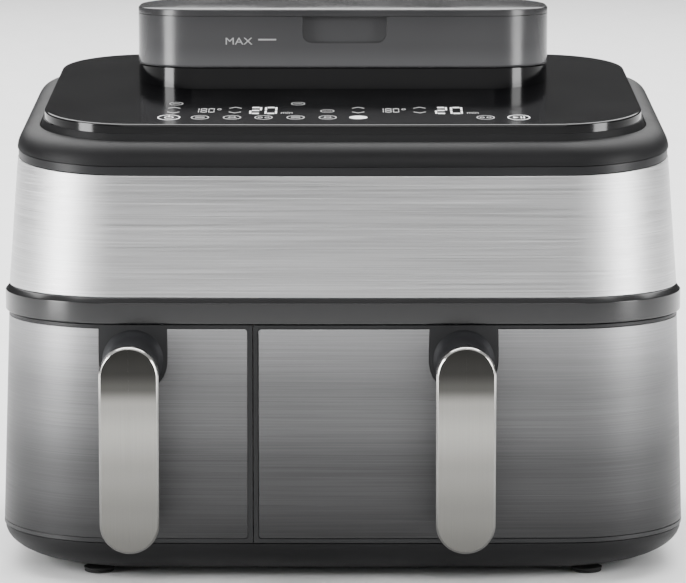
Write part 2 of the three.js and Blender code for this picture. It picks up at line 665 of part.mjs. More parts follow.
function heaterCoil({ chamber, coilRadius }) {
  const x = middleOf(chamber);
  const y = CHAMBER_MIDDLE_Y;
  const legTop = CHAMBER_ROOF + 12;
  const turnSteps = 14;
  const start = Math.asin(COIL_LEG / coilRadius) + 0.14;
  const ring = Array.from({ length: turnSteps + 1 }, (_, i) => {
    const angle = Math.PI / 2 + start + ((2 * Math.PI - 2 * start) * i) / turnSteps;
    return [x + coilRadius * Math.cos(angle), y + coilRadius * Math.sin(angle), COIL_Z];
  });
  const leg = (side) => [legTop, COIL_Z + 16, COIL_Z + 6].map((z) => [x + side * COIL_LEG, y + coilRadius, z]);
  return hose([...leg(-1), ...ring, ...leg(1).reverse()], COIL_WIRE, 54, 6);
}

function heaterGuard({ chamber: [x0, x1], coilRadius }) {
  const inset = PAN_CLEARANCE;
  const x = (x0 + x1) / 2;
  const plan = roundedPlan({
    x0: x0 + inset, x1: x1 - inset, front: CHAMBER_Y + 8, back: CHAMBER_BACK - inset, radius: 10, steps: 2,
  });
  const shape = new THREE.Shape(plan);
  const slots = 14;
  for (let i = 0; i < slots; i++) {
    const angle = (2 * Math.PI * (i + 0.5)) / slots;
    shape.holes.push(radialSlot(x, CHAMBER_MIDDLE_Y, angle, coilRadius * 0.3, coilRadius * 1.05, 4));
  }
  const plate = new THREE.ExtrudeGeometry(shape, { depth: 1, bevelEnabled: false });
  return plate.translate(0, 0, COIL_Z - COIL_WIRE - 6);
}

function radialSlot(x, y, angle, inner, outer, half) {
  const along = new THREE.Vector2(Math.cos(angle), Math.sin(angle));
  const across = new THREE.Vector2(-along.y, along.x);
  const corner = (r, s) => new THREE.Vector2(x, y).addScaledVector(along, r).addScaledVector(across, s);
  const hole = [corner(inner, -half / 2), corner(outer, -half), corner(outer, half), corner(inner, half / 2)];
  return new THREE.Path(hole);
}

function fanDuct({ chamber, ductRadius }) {
  const x = middleOf(chamber);
  const y = CHAMBER_MIDDLE_Y;
  const top = DUCT_Z + DUCT_HEIGHT;
  const profile = [
    [ductRadius - 2, DUCT_Z], [ductRadius, DUCT_Z], [ductRadius, top], [SHAFT_RADIUS + 2, top],
    [SHAFT_RADIUS + 2, top - 2], [ductRadius - 2, top - 2], [ductRadius - 2, DUCT_Z],
  ];
  const windows = [0, 1, 2].map((i) => box([-ductRadius - 9, ductRadius + 9], [-11, 11], [DUCT_Z + 5, top - 6])
    .rotateZ((Math.PI / 3) * i).translate(x, y, 0));
  return cut(turned(profile, x, y), ...windows);
}

function fanMotor({ chamber }) {
  const r = MOTOR_RADIUS;
  const bore = SHAFT_RADIUS + 0.3;
  const z = MOTOR_Z;
  const h = MOTOR_HEIGHT;
  const profile = [
    [bore, z], [r, z], [r, z + 3], [r - 5, z + 5], [r - 5, z + h - 4], [r - 9, z + h], [0, z + h],
    [0, z + h - 8], [bore, z + h - 8], [bore, z],
  ];
  return turned(profile, middleOf(chamber), CHAMBER_MIDDLE_Y, 20);
}

function fanShaft({ chamber }) {
  const heights = [FAN_Z - 2, MOTOR_Z + MOTOR_HEIGHT - 12];
  return upright(SHAFT_RADIUS, middleOf(chamber), CHAMBER_MIDDLE_Y, heights, 12);
}

function hotFan({ chamber, fanRadius }) {
  const bore = SHAFT_RADIUS + GAP;
  const z = FAN_Z;
  const hub = turned([
    [bore, z], [fanRadius, z], [fanRadius, z + 1.2], [10, z + 1.2], [10, z + 12], [bore, z + 12], [bore, z],
  ], 0, 0);
  const blades = Array.from({ length: FAN_BLADES }, (_, i) =>
    box([14, fanRadius - 0.5], [-0.9, 0.9], [z + 0.6, z + 13]).rotateZ((2 * Math.PI * i) / FAN_BLADES));
  return join(hub, ...blades).translate(middleOf(chamber), CHAMBER_MIDDLE_Y, 0);
}

const dividerWall = () => box(
  [DIVIDER_X - DIVIDER_THICKNESS / 2, DIVIDER_X + DIVIDER_THICKNESS / 2],
  [CHAMBER_Y + 2, CHAMBER_BACK - 2],
  [CHAMBER_Z, CHAMBER_ROOF - 1],
);

// ---------------------------------------------------------------- steam and electrics

function steamGenerator() {
  const { half, height } = GENERATOR;
  const plan = (inset) => roundedPlan({
    x0: GENERATOR_X - half[0] + inset,
    x1: GENERATOR_X + half[0] - inset,
    front: GENERATOR_Y - half[1] + inset,
    back: GENERATOR_Y + half[1] - inset,
    radius: 10 - inset,
    steps: 3,
  });
  return loft([level(plan(0), DUCT_Z), level(plan(0), DUCT_Z + height - 3), level(plan(3), DUCT_Z + height)]);
}

function waterPump() {
  const { radius, height } = PUMP;
  const z = DUCT_Z;
  const profile = [
    [0, z], [radius, z], [radius, z + 8], [radius - 3, z + 9], [radius - 3, z + height - 8],
    [4, z + height - 6], [4, z + height], [0, z + height],
  ];
  return turned(profile, GENERATOR_X, PUMP_Y, 20);
}

function feedHose() {
  const top = platePoint(TANK_MIDDLE_Y) - 15.5;
  const end = DUCT_Z + PUMP.height + GAP;
  return hose([
    [VALVE_X, TANK_MIDDLE_Y, top], [VALVE_X, TANK_MIDDLE_Y, top - 10],
    [GENERATOR_X, PUMP_Y, end + 12], [GENERATOR_X, PUMP_Y, end],
  ], 3.6, 14);
}

function steamPipe(side) {
  const x = GENERATOR_X + side * (GENERATOR.half[0] + 2 * GAP);
  const y = GENERATOR_Y;
  const z = DUCT_Z + GENERATOR.height / 2;
  return hose([
    [x, y, z], [x + side * 3, y, z], [x + side * 7, y, z], [x + side * 13, y - 14, z - 4],
    [x + side * 13, y - 20, DUCT_Z + 5], [x + side * 13, y - 20, DUCT_Z + 1],
  ], 2.5, 14);
}

function powerBoard() {
  const x1 = edgeX - POWER_BOARD.margin;
  const x0 = x1 - POWER_BOARD.width;
  const half = POWER_BOARD.length / 2;
  const z = DUCT_Z + POWER_BOARD.lift;
  const board = box([x0, x1], [CHAMBER_MIDDLE_Y - half, CHAMBER_MIDDLE_Y + half], [z, z + 1.6]);
  const posts = [8 - half, half - 8].flatMap((y) => [x0 + 6, x1 - 6].map((x) =>
    upright(3, x, CHAMBER_MIDDLE_Y + y, [DUCT_Z, z + 1], 8)));
  const blocks = [[8, 30, -60, -30, 22], [6, 26, -20, 6, 16], [30, 44, -50, 0, 26], [8, 42, 24, 60, 18]];
  const parts = blocks.map(([a, b, c, d, h]) =>
    box([x0 + a, x0 + b], [CHAMBER_MIDDLE_Y + c, CHAMBER_MIDDLE_Y + d], [z + 1, z + h]));
  return join(board, ...posts, ...parts);
}

// ---------------------------------------------------------------- drawers

// The outline of the metal panel in front view, grown by a clearance, as a block through the front.
function panelWindow({ skin, border, handleX }, grow) {
  const x0 = Math.max(skin[0], -WIDTH) + border[0] - grow;
  const x1 = Math.min(skin[1], WIDTH) - border[1] + grow;
  const top = PANEL_TOP + grow;
  const bottom = PANEL_BOTTOM - grow;
  const notch = NOTCH_RADIUS - grow;
  const notchBottom = BOSS_Z - notch;
  const outline = filletedShape([
    [x0, bottom, PANEL_CORNER], [x1, bottom, PANEL_CORNER], [x1, top, PANEL_CORNER],
    [handleX + notch, top, NOTCH_FILLET], [handleX + notch, notchBottom, notch - 0.01],
    [handleX - notch, notchBottom, notch - 0.01], [handleX - notch, top, NOTCH_FILLET],
    [x0, top, PANEL_CORNER],
  ], 5);
  return extrudedAlongY(outline, [FRONT_Y - 20, SEAM_Y - PANEL_BORDER_SEAM + grow]);
}

function drawerFrame(side) {
  const [x0, x1] = side.skin;
  const shell = lowerShell(0, DRAWER_WALL, DRAWER_Z, DRAWER_TOP);
  const span = box([x0, x1], [-FAR, SEAM_Y - GAP / 2], [-1, FAR]);
  const recess = overlap(lowerShell(-4, SKIN + GAP, DRAWER_Z - 5, DRAWER_TOP + 5), panelWindow(side, GAP));
  const screwHole = alongY(HANDLE_SCREW_RADIUS + GAP, side.handleX, BOSS_Z, [FRONT_Y - 9, CHAMBER_Y], 12);
  return cut(overlap(shell, span), recess, screwHole);
}

const drawerPanel = (side) => overlap(lowerShell(0, SKIN, DRAWER_Z, DRAWER_TOP), panelWindow(side, 0));

function drawerInnerPanel({ skin: [x0, x1] }) {
  const plate = box(
    [Math.max(x0 + 2, -FAR), Math.min(x1 - 2, FAR)],
    [CHAMBER_Y - 3, CHAMBER_Y - 0.5],
    [CHAMBER_Z + 0.5, DRAWER_TOP - 1],
  );
  return overlap(plate, lowerSolid(DRAWER_WALL + GAP));
}

const panPlan = ([x0, x1], inset, steps = 4) => roundedPlan({
  x0: x0 + PAN_CLEARANCE + inset,
  x1: x1 - PAN_CLEARANCE - inset,
  front: CHAMBER_Y - 0.2 + inset,
  back: CHAMBER_BACK - PAN_CLEARANCE - 2 - inset,
  radius: PAN_CORNER - inset,
  steps,
});

function basketPan({ chamber }) {
  const floor = PAN_Z + PAN_WALL;
  const ring = (inset, z) => level(panPlan(chamber, inset), z);
  return loft([
    ring(PAN_DRAFT + 5, PAN_Z), ring(PAN_DRAFT, PAN_Z + 5), ring(0, PAN_TOP),
    ring(PAN_WALL, PAN_TOP), ring(PAN_DRAFT + PAN_WALL, floor + 5), ring(PAN_DRAFT + PAN_WALL + 5, floor),
  ]);
}

function crisperTray({ chamber }) {
  const z = PAN_Z + PAN_WALL + TRAY_HEIGHT;
  const inset = PAN_DRAFT + PAN_WALL + TRAY_CLEARANCE;
  const plan = panPlan(chamber, inset);
  const xs = plan.map((p) => p.x);
  const ys = plan.map((p) => p.y);
  const centre = [(Math.min(...xs) + Math.max(...xs)) / 2, (Math.min(...ys) + Math.max(...ys)) / 2];
  const half = [(Math.max(...xs) - Math.min(...xs)) / 2, (Math.max(...ys) - Math.min(...ys)) / 2];
  const count = half.map((reach, k) => Math.floor((2 * (reach - 12)) / TRAY_PITCH[k]));
  const shape = new THREE.Shape(plan);
  for (let i = 0; i < count[0]; i++) {
    for (let j = 0; j < count[1]; j++) {
      const x = centre[0] + (i - (count[0] - 1) / 2) * TRAY_PITCH[0];
      const y = centre[1] + (j - (count[1] - 1) / 2) * TRAY_PITCH[1];
      shape.holes.push(slotPath(x, y));
    }
  }
  const plate = new THREE.ExtrudeGeometry(shape, { depth: TRAY_PLATE, bevelEnabled: false }).translate(0, 0, z);
  const legs = [-1, 1].flatMap((sx) => [-1, 1].map((sy) => upright(
    5, centre[0] + sx * (half[0] - 16), centre[1] + sy * (half[1] - 10),
    [PAN_Z + PAN_WALL + GAP, z + 1], 10)));
  return join(plate, ...legs);
}

function slotPath(x, y) {
  const [w, l] = TRAY_SLOT.map((size) => size / 2);
  const straight = l - w;
  const corners = [[-w, -straight], [0, -l], [w, -straight], [w, straight], [0, l], [-w, straight]];
  return new THREE.Path(corners.map(([dx, dy]) => new THREE.Vector2(x + dx, y + dy)));
}

// ---------------------------------------------------------------- handles

// A tall slot outline, anticlockwise as seen from the front.
function barRing(x, inset, y) {
  const radius = HANDLE_WIDTH / 2 - inset;
  const bottom = BAR_BOTTOM + HANDLE_WIDTH / 2;
  const steps = 12;
  return Array.from({ length: 2 * (steps + 1) }, (_, i) => {
    const upper = i <= steps;
    const angle = (Math.PI * (upper ? i : i - 1)) / steps;
    const z = (upper ? ARM_Z : bottom) + radius * Math.sin(angle);
    return new THREE.Vector3(x + radius * Math.cos(angle), y, z);
  });
}

function handleBar({ handleX: x }) {
  return loft([
    barRing(x, 1.5, BAR_BACK),
    barRing(x, 0, BAR_BACK - 1.5),
    barRing(x, 0, BAR_FRONT + HANDLE_CHAMFER),
    barRing(x, HANDLE_CHAMFER, BAR_FRONT),
  ]);
}

function discRing(x, z, radius, y, steps = 24) {
  return Array.from({ length: steps }, (_, i) => {
    const angle = (2 * Math.PI * i) / steps;
    return new THREE.Vector3(x + radius * Math.cos(angle), y, z + radius * Math.sin(angle));
  });
}

function handleArm({ handleX: x }) {
  const start = FRONT_Y + 20;
  const end = BAR_BACK + GAP;
  const waist = HANDLE_WIDTH / 2 - 4.2;
  const arm = loft([
    discRing(x, BOSS_Z, BOSS_RADIUS, start),
    discRing(x, BOSS_Z, BOSS_RADIUS, FRONT_Y),
    discRing(x, (BOSS_Z + ARM_Z) / 2, waist, FRONT_Y - 12),
    discRing(x, ARM_Z, waist, end + 9),
    discRing(x, ARM_Z, HANDLE_WIDTH / 2 - 1.5, end),
  ]);
  const screwHole = alongY(HANDLE_SCREW_RADIUS + GAP, x, BOSS_Z, [FRONT_Y - 12, FRONT_Y + 30], 12);
  return cut(arm, lowerSolid(-GAP), screwHole);
}

// The furthest forward that the lower wall's outside comes at a distance from the middle.
function lowerWallY(x, z) {
  const inset = lowerInset(z);
  const radius = CORNER_RADIUS - CORNER_SHARPENING * inset;
  const intoCorner = Math.max(Math.abs(x) - (WIDTH / 2 - inset - radius), 0);
  const setback = radius - Math.sqrt(radius ** 2 - intoCorner ** 2);
  return FRONT_Y + inset + setback + FRONT_BULGE * (x / (WIDTH / 2)) ** 2;
}

function handleScrew({ handleX: x }) {
  const headRadius = 4;
  const outermost = Math.abs(x) + headRadius;
  const wallBack = lowerWallY(outermost, BOSS_Z) + DRAWER_WALL + 1;
  const head = alongY(headRadius, x, BOSS_Z, [wallBack, wallBack + 2.5], 12);
  const tip = wallBack + 7 - HANDLE_SCREW_LENGTH;
  const shank = alongY(HANDLE_SCREW_RADIUS, x, BOSS_Z, [tip, wallBack + 1], 12);
  return join(head, shank);
}

// ---------------------------------------------------------------- assembly

const finish = (color, roughness, metalness = 0, extra = {}) =>
  new THREE.MeshStandardMaterial({ color, roughness, metalness, ...extra });

const finishes = {
  steel: finish(0xa9a9aa, 0.34, 1),
  handleMetal: finish(0xa7a6a0, 0.3, 1),
  gunmetal: finish(0x4a4b4f, 0.35, 0.7),
  darkPlastic: finish(0x2a2b2d, 0.55),
  framePlastic: finish(0x47484a, 0.5),
  trimPlastic: finish(0x46474a, 0.4),
  glossBlack: finish(0x0c0c0e, 0.08),
  smoke: finish(0x3d3e40, 0.12, 0, { transparent: true, opacity: 0.75 }),
  coating: finish(0x232426, 0.6),
  galvanised: finish(0x9a9c9e, 0.45, 0.9),
  rubber: finish(0x161616, 0.85),
  board: finish(0x1d5b3a, 0.6),
  insulation: finish(0xd9d4c4, 0.9),
  silicone: finish(0xd8d8d4, 0.6),
};

const airFryer = new THREE.Group();

function add(name, geometry, material) {
  const mesh = new THREE.Mesh(geometry, material);
  mesh.name = name;
  airFryer.add(mesh);
}

add('base_pan', basePan(), finishes.darkPlastic);
for (const [place, [x, y]] of Object.entries(footPlaces)) {
  add(`foot_${place}`, foot(x, y), finishes.rubber);
}
add('chassis_floor', chassisFloor(), finishes.galvanised);
add('rear_housing', rearHousing(), finishes.darkPlastic);
add('exhaust_grille_left', exhaustGrille(-1), finishes.darkPlastic);
add('exhaust_grille_right', exhaustGrille(1), finishes.darkPlastic);
add('cord_gland', cordGland(), finishes.rubber);
add('front_carcass', frontCarcass(), finishes.darkPlastic);
add('upper_steel_wrap', upperSkin(), finishes.steel);
add('mid_band', midBand(), finishes.glossBlack);
add('shoulder_trim', shoulderTrim(), finishes.trimPlastic);
add('top_shoulder', topShoulder(), finishes.darkPlastic);
add('top_plate', topPlate(), finishes.glossBlack);
add('touch_board', touchBoard(), finishes.board);
add('tank_dock', tankDock(), finishes.glossBlack);
add('dock_valve', dockValve(), finishes.silicone);
add('water_tank', waterTank(), finishes.smoke);
add('tank_lid', tankLid(), finishes.smoke);
add('lid_hinge_pin', hingePin(), finishes.galvanised);
add('tank_valve', tankValve(), finishes.silicone);
add('divider_wall', dividerWall(), finishes.insulation);
add('steam_generator', steamGenerator(), finishes.galvanised);
add('water_pump', waterPump(), finishes.darkPlastic);
add('feed_hose', feedHose(), finishes.silicone);
add('steam_pipe_left', steamPipe(-1), finishes.silicone);
add('steam_pipe_right', steamPipe(1), finishes.silicone);
add('power_board', powerBoard(), finishes.board);

for (const [name, side] of Object.entries(SIDES)) {
  add(`${name}_cavity_liner`, cavityLiner(side), finishes.galvanised);
  add(`${name}_heater_coil`, heaterCoil(side), finishes.gunmetal);
  add(`${name}_heater_guard`, heaterGuard(side), finishes.galvanised);
  add(`${name}_fan_duct`, fanDuct(side), finishes.galvanised);
  add(`${name}_fan_motor`, fanMotor(side), finishes.gunmetal);
  add(`${name}_fan_shaft`, fanShaft(side), finishes.galvanised);
  add(`${name}_hot_fan`, hotFan(side), finishes.galvanised);
  add(`${name}_drawer_frame`, drawerFrame(side), finishes.framePlastic);
  add(`${name}_drawer_panel`, drawerPanel(side), finishes.steel);
  add(`${name}_drawer_back`, drawerInnerPanel(side), finishes.darkPlastic);
  add(`${name}_basket_pan`, basketPan(side), finishes.coating);
  add(`${name}_crisper_tray`, crisperTray(side), finishes.coating);
  add(`${name}_handle_arm`, handleArm(side), finishes.gunmetal);
  add(`${name}_handle_bar`, handleBar(side), finishes.handleMetal);
  add(`${name}_handle_screw`, handleScrew(side), finishes.galvanised);
}

export default airFryer;
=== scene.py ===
# %% [markdown]
# # A dual-drawer air fryer with a steam water tank
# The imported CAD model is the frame: every size and place comes from it. Around it, each visible shell is
# modelled again with rounder corners, softened edges and a procedural finish. The pieces inside keep their
# CAD shape and only get better materials.

# %% Load the frame
import json
import math

import bmesh
import bpy
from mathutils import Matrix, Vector


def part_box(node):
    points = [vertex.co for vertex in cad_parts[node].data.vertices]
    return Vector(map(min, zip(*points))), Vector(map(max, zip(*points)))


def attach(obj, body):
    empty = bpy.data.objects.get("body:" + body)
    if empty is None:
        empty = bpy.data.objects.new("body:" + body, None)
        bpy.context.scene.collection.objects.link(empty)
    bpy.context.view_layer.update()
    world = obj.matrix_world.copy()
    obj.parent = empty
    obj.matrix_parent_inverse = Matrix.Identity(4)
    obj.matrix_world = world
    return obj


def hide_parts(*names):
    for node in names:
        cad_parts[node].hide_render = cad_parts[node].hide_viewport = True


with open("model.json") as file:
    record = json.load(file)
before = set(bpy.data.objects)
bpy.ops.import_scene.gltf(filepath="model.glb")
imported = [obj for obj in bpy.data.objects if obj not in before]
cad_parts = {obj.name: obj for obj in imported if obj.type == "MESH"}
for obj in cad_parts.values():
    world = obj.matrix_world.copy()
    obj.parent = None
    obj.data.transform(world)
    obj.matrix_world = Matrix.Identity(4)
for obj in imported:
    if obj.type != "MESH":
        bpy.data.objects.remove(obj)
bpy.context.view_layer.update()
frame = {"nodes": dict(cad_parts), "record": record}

# %% [markdown]
# ## Sizes
# The mouldings share one outline: a rounded rectangle with a slightly bowed front. It is drawn in by an
# inset that grows with height. Above the band every level also tips back, so the top faces the cook.
# All levels are read from the CAD nodes.

# %% Levels and outline
MM = 0.001
HALF_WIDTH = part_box("rear_housing")[1].x
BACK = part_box("rear_housing")[1].y
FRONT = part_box("right_drawer_frame")[0].y
SEAM_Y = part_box("left_drawer_frame")[1].y + 0.15 * MM
CORNER_RADIUS = 78 * MM
CORNER_SHARPENING = 0.63
BOW = 4.5 * MM
LOWER_LEAN = math.tan(math.radians(1.9))
SLOPE = math.tan(math.radians(5.2))
FOOT_INSET = 5.1 * MM
HEAD_INSET = 11.4 * MM
PLATE_INSET = 28.6 * MM
SLOPE_Y = FRONT + HEAD_INSET
DRAWER_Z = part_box("left_drawer_frame")[0].z
DRAWER_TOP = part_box("left_drawer_frame")[1].z
BAND_Z = DRAWER_TOP + 0.5 * MM
UPPER_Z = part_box("mid_band")[1].z + 0.25 * MM
TRIM_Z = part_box("shoulder_trim")[0].z
SHOULDER_Z = TRIM_Z + 5.9 * MM
PLATE_Z = SHOULDER_Z + 16 * MM
PLATE_TOP = PLATE_Z + 7.6 * MM
DIVIDER_X = (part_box("left_drawer_frame")[1].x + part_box("right_drawer_frame")[0].x) / 2
SIDES = {"left": -1, "right": 1}
print(f"drawers from {DRAWER_Z:.4f}, band {BAND_Z:.4f}, upper skin {UPPER_Z:.4f}")
print(f"trim ring from {TRIM_Z:.4f}, top plate {PLATE_Z:.4f}")


def body_plan(inset):
    """The appliance's outline drawn in by an inset: two opposite corners and the corner radius."""
    low = (inset - HALF_WIDTH, FRONT + inset)
    high = (HALF_WIDTH - inset, BACK - inset)
    return low, high, CORNER_RADIUS - CORNER_SHARPENING * inset


def lower_inset(z):
    """How far the lower walls lean in at a height."""
    return (z - DRAWER_Z) * LOWER_LEAN


# %% [markdown]
# ## Camera
# The view is from the front, about two metres away and looking slightly down.

# %% Camera
CAMERA_DISTANCE = 2.272
CAMERA_HEIGHT = 0.506
camera = bpy.data.objects.new("camera", bpy.data.cameras.new("camera"))
bpy.context.collection.objects.link(camera)
camera.location = (0, FRONT - CAMERA_DISTANCE, CAMERA_HEIGHT)
camera.rotation_euler = (math.radians(90 - 7.92), 0, 0)
camera.data.sensor_width = 36
camera.data.lens = 189.6
bpy.context.scene.camera = camera
print("camera at", tuple(round(c, 3) for c in camera.location))

# %% [markdown]
# ## How the shells are made
# A housing moulding is a skin between rounded outlines at different heights. Each outline starts as a plane
# whose corner points are bevelled round, and neighbouring outlines are bridged. Bridging is chosen over
# extruding and scaling, because every level keeps its own corner radius.

# %% Modelling helpers
CORNER_STEPS = 20
FRONT_CUTS = 15
KINDS = {"VERT": "verts", "EDGE": "edges", "FACE": "faces"}


def only(obj):
    """Makes obj the one selected and active object."""
    bpy.ops.object.select_all(action="DESELECT")
    obj.select_set(True)
    bpy.context.view_layer.objects.active = obj


def start(name):
    """The newly added primitive gets its name, and is opened in edit mode."""
    obj = bpy.context.object
    obj.name = obj.data.name = name
    bpy.ops.object.transform_apply(location=True, rotation=True, scale=True)
    bpy.ops.object.mode_set(mode="EDIT")
    return obj


def pick(obj, kind, test):
    """In edit mode, selects only the points, edges or faces that pass a test."""
    bpy.ops.mesh.select_mode(type=kind)
    bpy.ops.mesh.select_all(action="DESELECT")
    mesh = bmesh.from_edit_mesh(obj.data)
    for item in getattr(mesh, KINDS[kind]):
        if test(item):
            item.select_set(True)
    mesh.select_flush_mode()
    bmesh.update_edit_mesh(obj.data)


def middle(item):
    """The centre of an edge or face."""
    return sum((v.co for v in item.verts), Vector()) / len(item.verts)


def add_ring(obj, plan, z, number, steps, cuts):
    """Adds one rounded rectangle of edges at height z and numbers its points."""
    (x0, y0), (x1, y1), radius = plan
    centre = ((x0 + x1) / 2, (y0 + y1) / 2, z)
    bpy.ops.mesh.primitive_plane_add(size=1, location=centre)
    bpy.ops.transform.resize(value=(x1 - x0, y1 - y0, 1), center_override=centre)
    bpy.ops.mesh.bevel(offset=radius, segments=steps, affect="VERTICES")
    bpy.ops.mesh.delete(type="ONLY_FACE")
    mesh = bmesh.from_edit_mesh(obj.data)
    numbers = mesh.verts.layers.int["ring"]
    fresh = [v for v in mesh.verts if v[numbers] == 0]
    for v in fresh:
        v[numbers] = number
    if cuts:
        pick(obj, "EDGE", lambda e: all(v[numbers] == number and abs(v.co.y - y0) < 1e-6 for v in e.verts))
        bpy.ops.mesh.subdivide(number_cuts=cuts)
        mesh = bmesh.from_edit_mesh(obj.data)
        numbers = mesh.verts.layers.int["ring"]
        for v in mesh.verts:
            if v.select:
                v[numbers] = number


def pick_rings(obj, *wanted):
    """Selects the edges of the numbered outlines."""
    mesh = bmesh.from_edit_mesh(obj.data)
    numbers = mesh.verts.layers.int["ring"]
    pick(obj, "EDGE", lambda e: e.verts[0][numbers] == e.verts[1][numbers] and e.verts[0][numbers] in wanted)


def loft(name, rings, steps=CORNER_STEPS, cuts=FRONT_CUTS, caps=(False, False), closed=False):
    """Bridges (plan, height) outlines in turn into one skin, with flat caps where asked."""
    bpy.ops.object.select_all(action="DESELECT")
    bpy.ops.mesh.primitive_plane_add(size=1)
    obj = start(name)
    bpy.ops.mesh.delete(type="VERT")
    bmesh.from_edit_mesh(obj.data).verts.layers.int.new("ring")
    for number, (plan, z) in enumerate(rings, start=1):
        add_ring(obj, plan, z, number, steps, cuts)
    last = len(rings)
    pairs = [(k, k + 1) for k in range(1, last)] + ([(last, 1)] if closed else [])
    for pair in pairs:
        pick_rings(obj, *pair)
        bpy.ops.mesh.bridge_edge_loops()
    for capped, ring in zip(caps, (1, last)):
        if capped:
            pick_rings(obj, ring)
            bpy.ops.mesh.edge_face_add()
    bpy.ops.mesh.select_all(action="SELECT")
    bpy.ops.mesh.normals_make_consistent(inside=False)
    bpy.ops.object.mode_set(mode="OBJECT")
    obj.data.attributes.remove(obj.data.attributes["ring"])
    return obj


def slice_off(obj, point, normal):
    """Cuts obj with a plane and throws away what lies beyond it."""
    only(obj)
    bpy.ops.object.mode_set(mode="EDIT")
    bpy.ops.mesh.select_all(action="SELECT")
    bpy.ops.mesh.bisect(plane_co=point, plane_no=normal, clear_outer=True)
    bpy.ops.object.mode_set(mode="OBJECT")


def modify(obj, kind, **settings):
    """Adds a modifier with these settings and applies it."""
    only(obj)
    modifier = obj.modifiers.new(kind.title(), kind)
    for key, value in settings.items():
        setattr(modifier, key, value)
    bpy.ops.object.modifier_apply(modifier=modifier.name)


def wall(obj, thickness):
    """Gives a skin its thickness, inwards."""
    modify(obj, "SOLIDIFY", thickness=thickness, offset=-1, use_even_offset=True)


def soften(obj, width, segments=3, angle=40):
    """Rounds the sharp edges."""
    modify(obj, "BEVEL", width=width, segments=segments, limit_method="ANGLE",
           angle_limit=math.radians(angle))


def combine(obj, other, operation):
    """Joins or cuts obj with another object, which is used up."""
    modify(obj, "BOOLEAN", operation=operation, solver="EXACT", object=other)
    bpy.data.objects.remove(other)


def settle(obj):
    """Bows the front and tips back what is above the band, as the moulds do."""
    for v in obj.data.vertices:
        lift = min(max((v.co.z - UPPER_Z) / (TRIM_Z - UPPER_Z), 0), 1)
        if v.co.y < (FRONT + BACK) / 2:
            v.co.y += BOW * (v.co.x / HALF_WIDTH) ** 2
        v.co.z += SLOPE * (v.co.y - SLOPE_Y) * lift


def finished(obj, body, slot, material, *nodes, angle=35, weighted=True):
    """Shades a piece, gives it its material and hands it to the frame."""
    only(obj)
    bpy.ops.object.shade_smooth_by_angle(angle=math.radians(angle))
    if weighted:
        modify(obj, "WEIGHTED_NORMAL", keep_sharp=True)
    if material:
        obj.data.materials.clear()
        obj.data.materials.append(material)
    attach(obj, body)
    if nodes:
        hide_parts(*nodes)
    size = [round(side / MM, 1) for side in obj.dimensions]
    print(f"{obj.name}: {size} mm, {len(obj.data.polygons)} faces")
    return obj


print("helpers ready, corners in", CORNER_STEPS, "steps")

# %% [markdown]
# ## Finishes
# Every finish reads Object coordinates, so it stays put on the piece. Small noise changes the colour and the
# roughness a little, and a fine bump breaks up the reflections.

# %% Node helpers
def node(tree, kind, **values):
    """Adds a shader node; values with a leading capital or a number key are its inputs."""
    made = tree.nodes.new(kind)
    for key, value in values.items():
        if key in made.inputs:
            made.inputs[key].default_value = value
        else:
            setattr(made, key, value)
    return made


def new_material(name, colour, roughness, metallic=0.0, **sockets):
    """A Principled material with its constants on the shader's own sockets."""
    material = bpy.data.materials.new(name)
    material.use_nodes = True
    shader = material.node_tree.nodes["Principled BSDF"]
    shader.inputs["Base Color"].default_value = (*colour, 1)
    shader.inputs["Roughness"].default_value = roughness
    shader.inputs["Metallic"].default_value = metallic
    for name, value in sockets.items():
        shader.inputs[name.replace("_", " ")].default_value = value
    return material, material.node_tree, shader


def pattern(tree, scale, detail=4.0, stretch=(1, 1, 1)):
    """Noise on Object coordinates; scale is in features per metre and stretch turns it into grain."""
    place = node(tree, "ShaderNodeTexCoord")
    mapping = node(tree, "ShaderNodeMapping")
    mapping.inputs["Scale"].default_value = [scale * s for s in stretch]
    noise = node(tree, "ShaderNodeTexNoise", Detail=detail, Scale=1.0)
    tree.links.new(place.outputs["Object"], mapping.inputs["Vector"])
    tree.links.new(mapping.outputs["Vector"], noise.inputs["Vector"])
    return noise.outputs["Fac"]


def spread(tree, value, low, high, start=0.3, end=0.7):
    """Maps noise between start and end to a range."""
    ranged = node(tree, "ShaderNodeMapRange")
    for socket, number in zip(("From Min", "From Max", "To Min", "To Max"), (start, end, low, high)):
        ranged.inputs[socket].default_value = number
    tree.links.new(value, ranged.inputs["Value"])
    return ranged.outputs["Result"]


def tint(tree, colour, factor):
    """A colour multiplied by a varying factor."""
    mix = node(tree, "ShaderNodeVectorMath", operation="SCALE")
    mix.inputs[0].default_value = colour
    tree.links.new(factor, mix.inputs["Scale"])
    return mix.outputs["Vector"]


def bump(tree, shader, height, strength, distance=0.0002):
    """Feeds a height into the shader's normal."""
    made = node(tree, "ShaderNodeBump", Strength=strength, Distance=distance)
    tree.links.new(height, made.inputs["Height"])
    tree.links.new(made.outputs["Normal"], shader.inputs["Normal"])


def grained(name, colour, roughness, grain, strength, metallic=0.0, vary=0.12, **sockets):
    """A moulded or cast surface: slow colour and gloss changes under a fine grain."""
    material, tree, shader = new_material(name, colour, roughness, metallic, **sockets)
    slow = pattern(tree, 18, 3)
    tree.links.new(tint(tree, colour, spread(tree, slow, 1 - vary, 1 + vary)), shader.inputs["Base Color"])
    tree.links.new(spread(tree, slow, roughness * 0.9, roughness * 1.12), shader.inputs["Roughness"])
    bump(tree, shader, pattern(tree, grain, 2), strength)
    return material


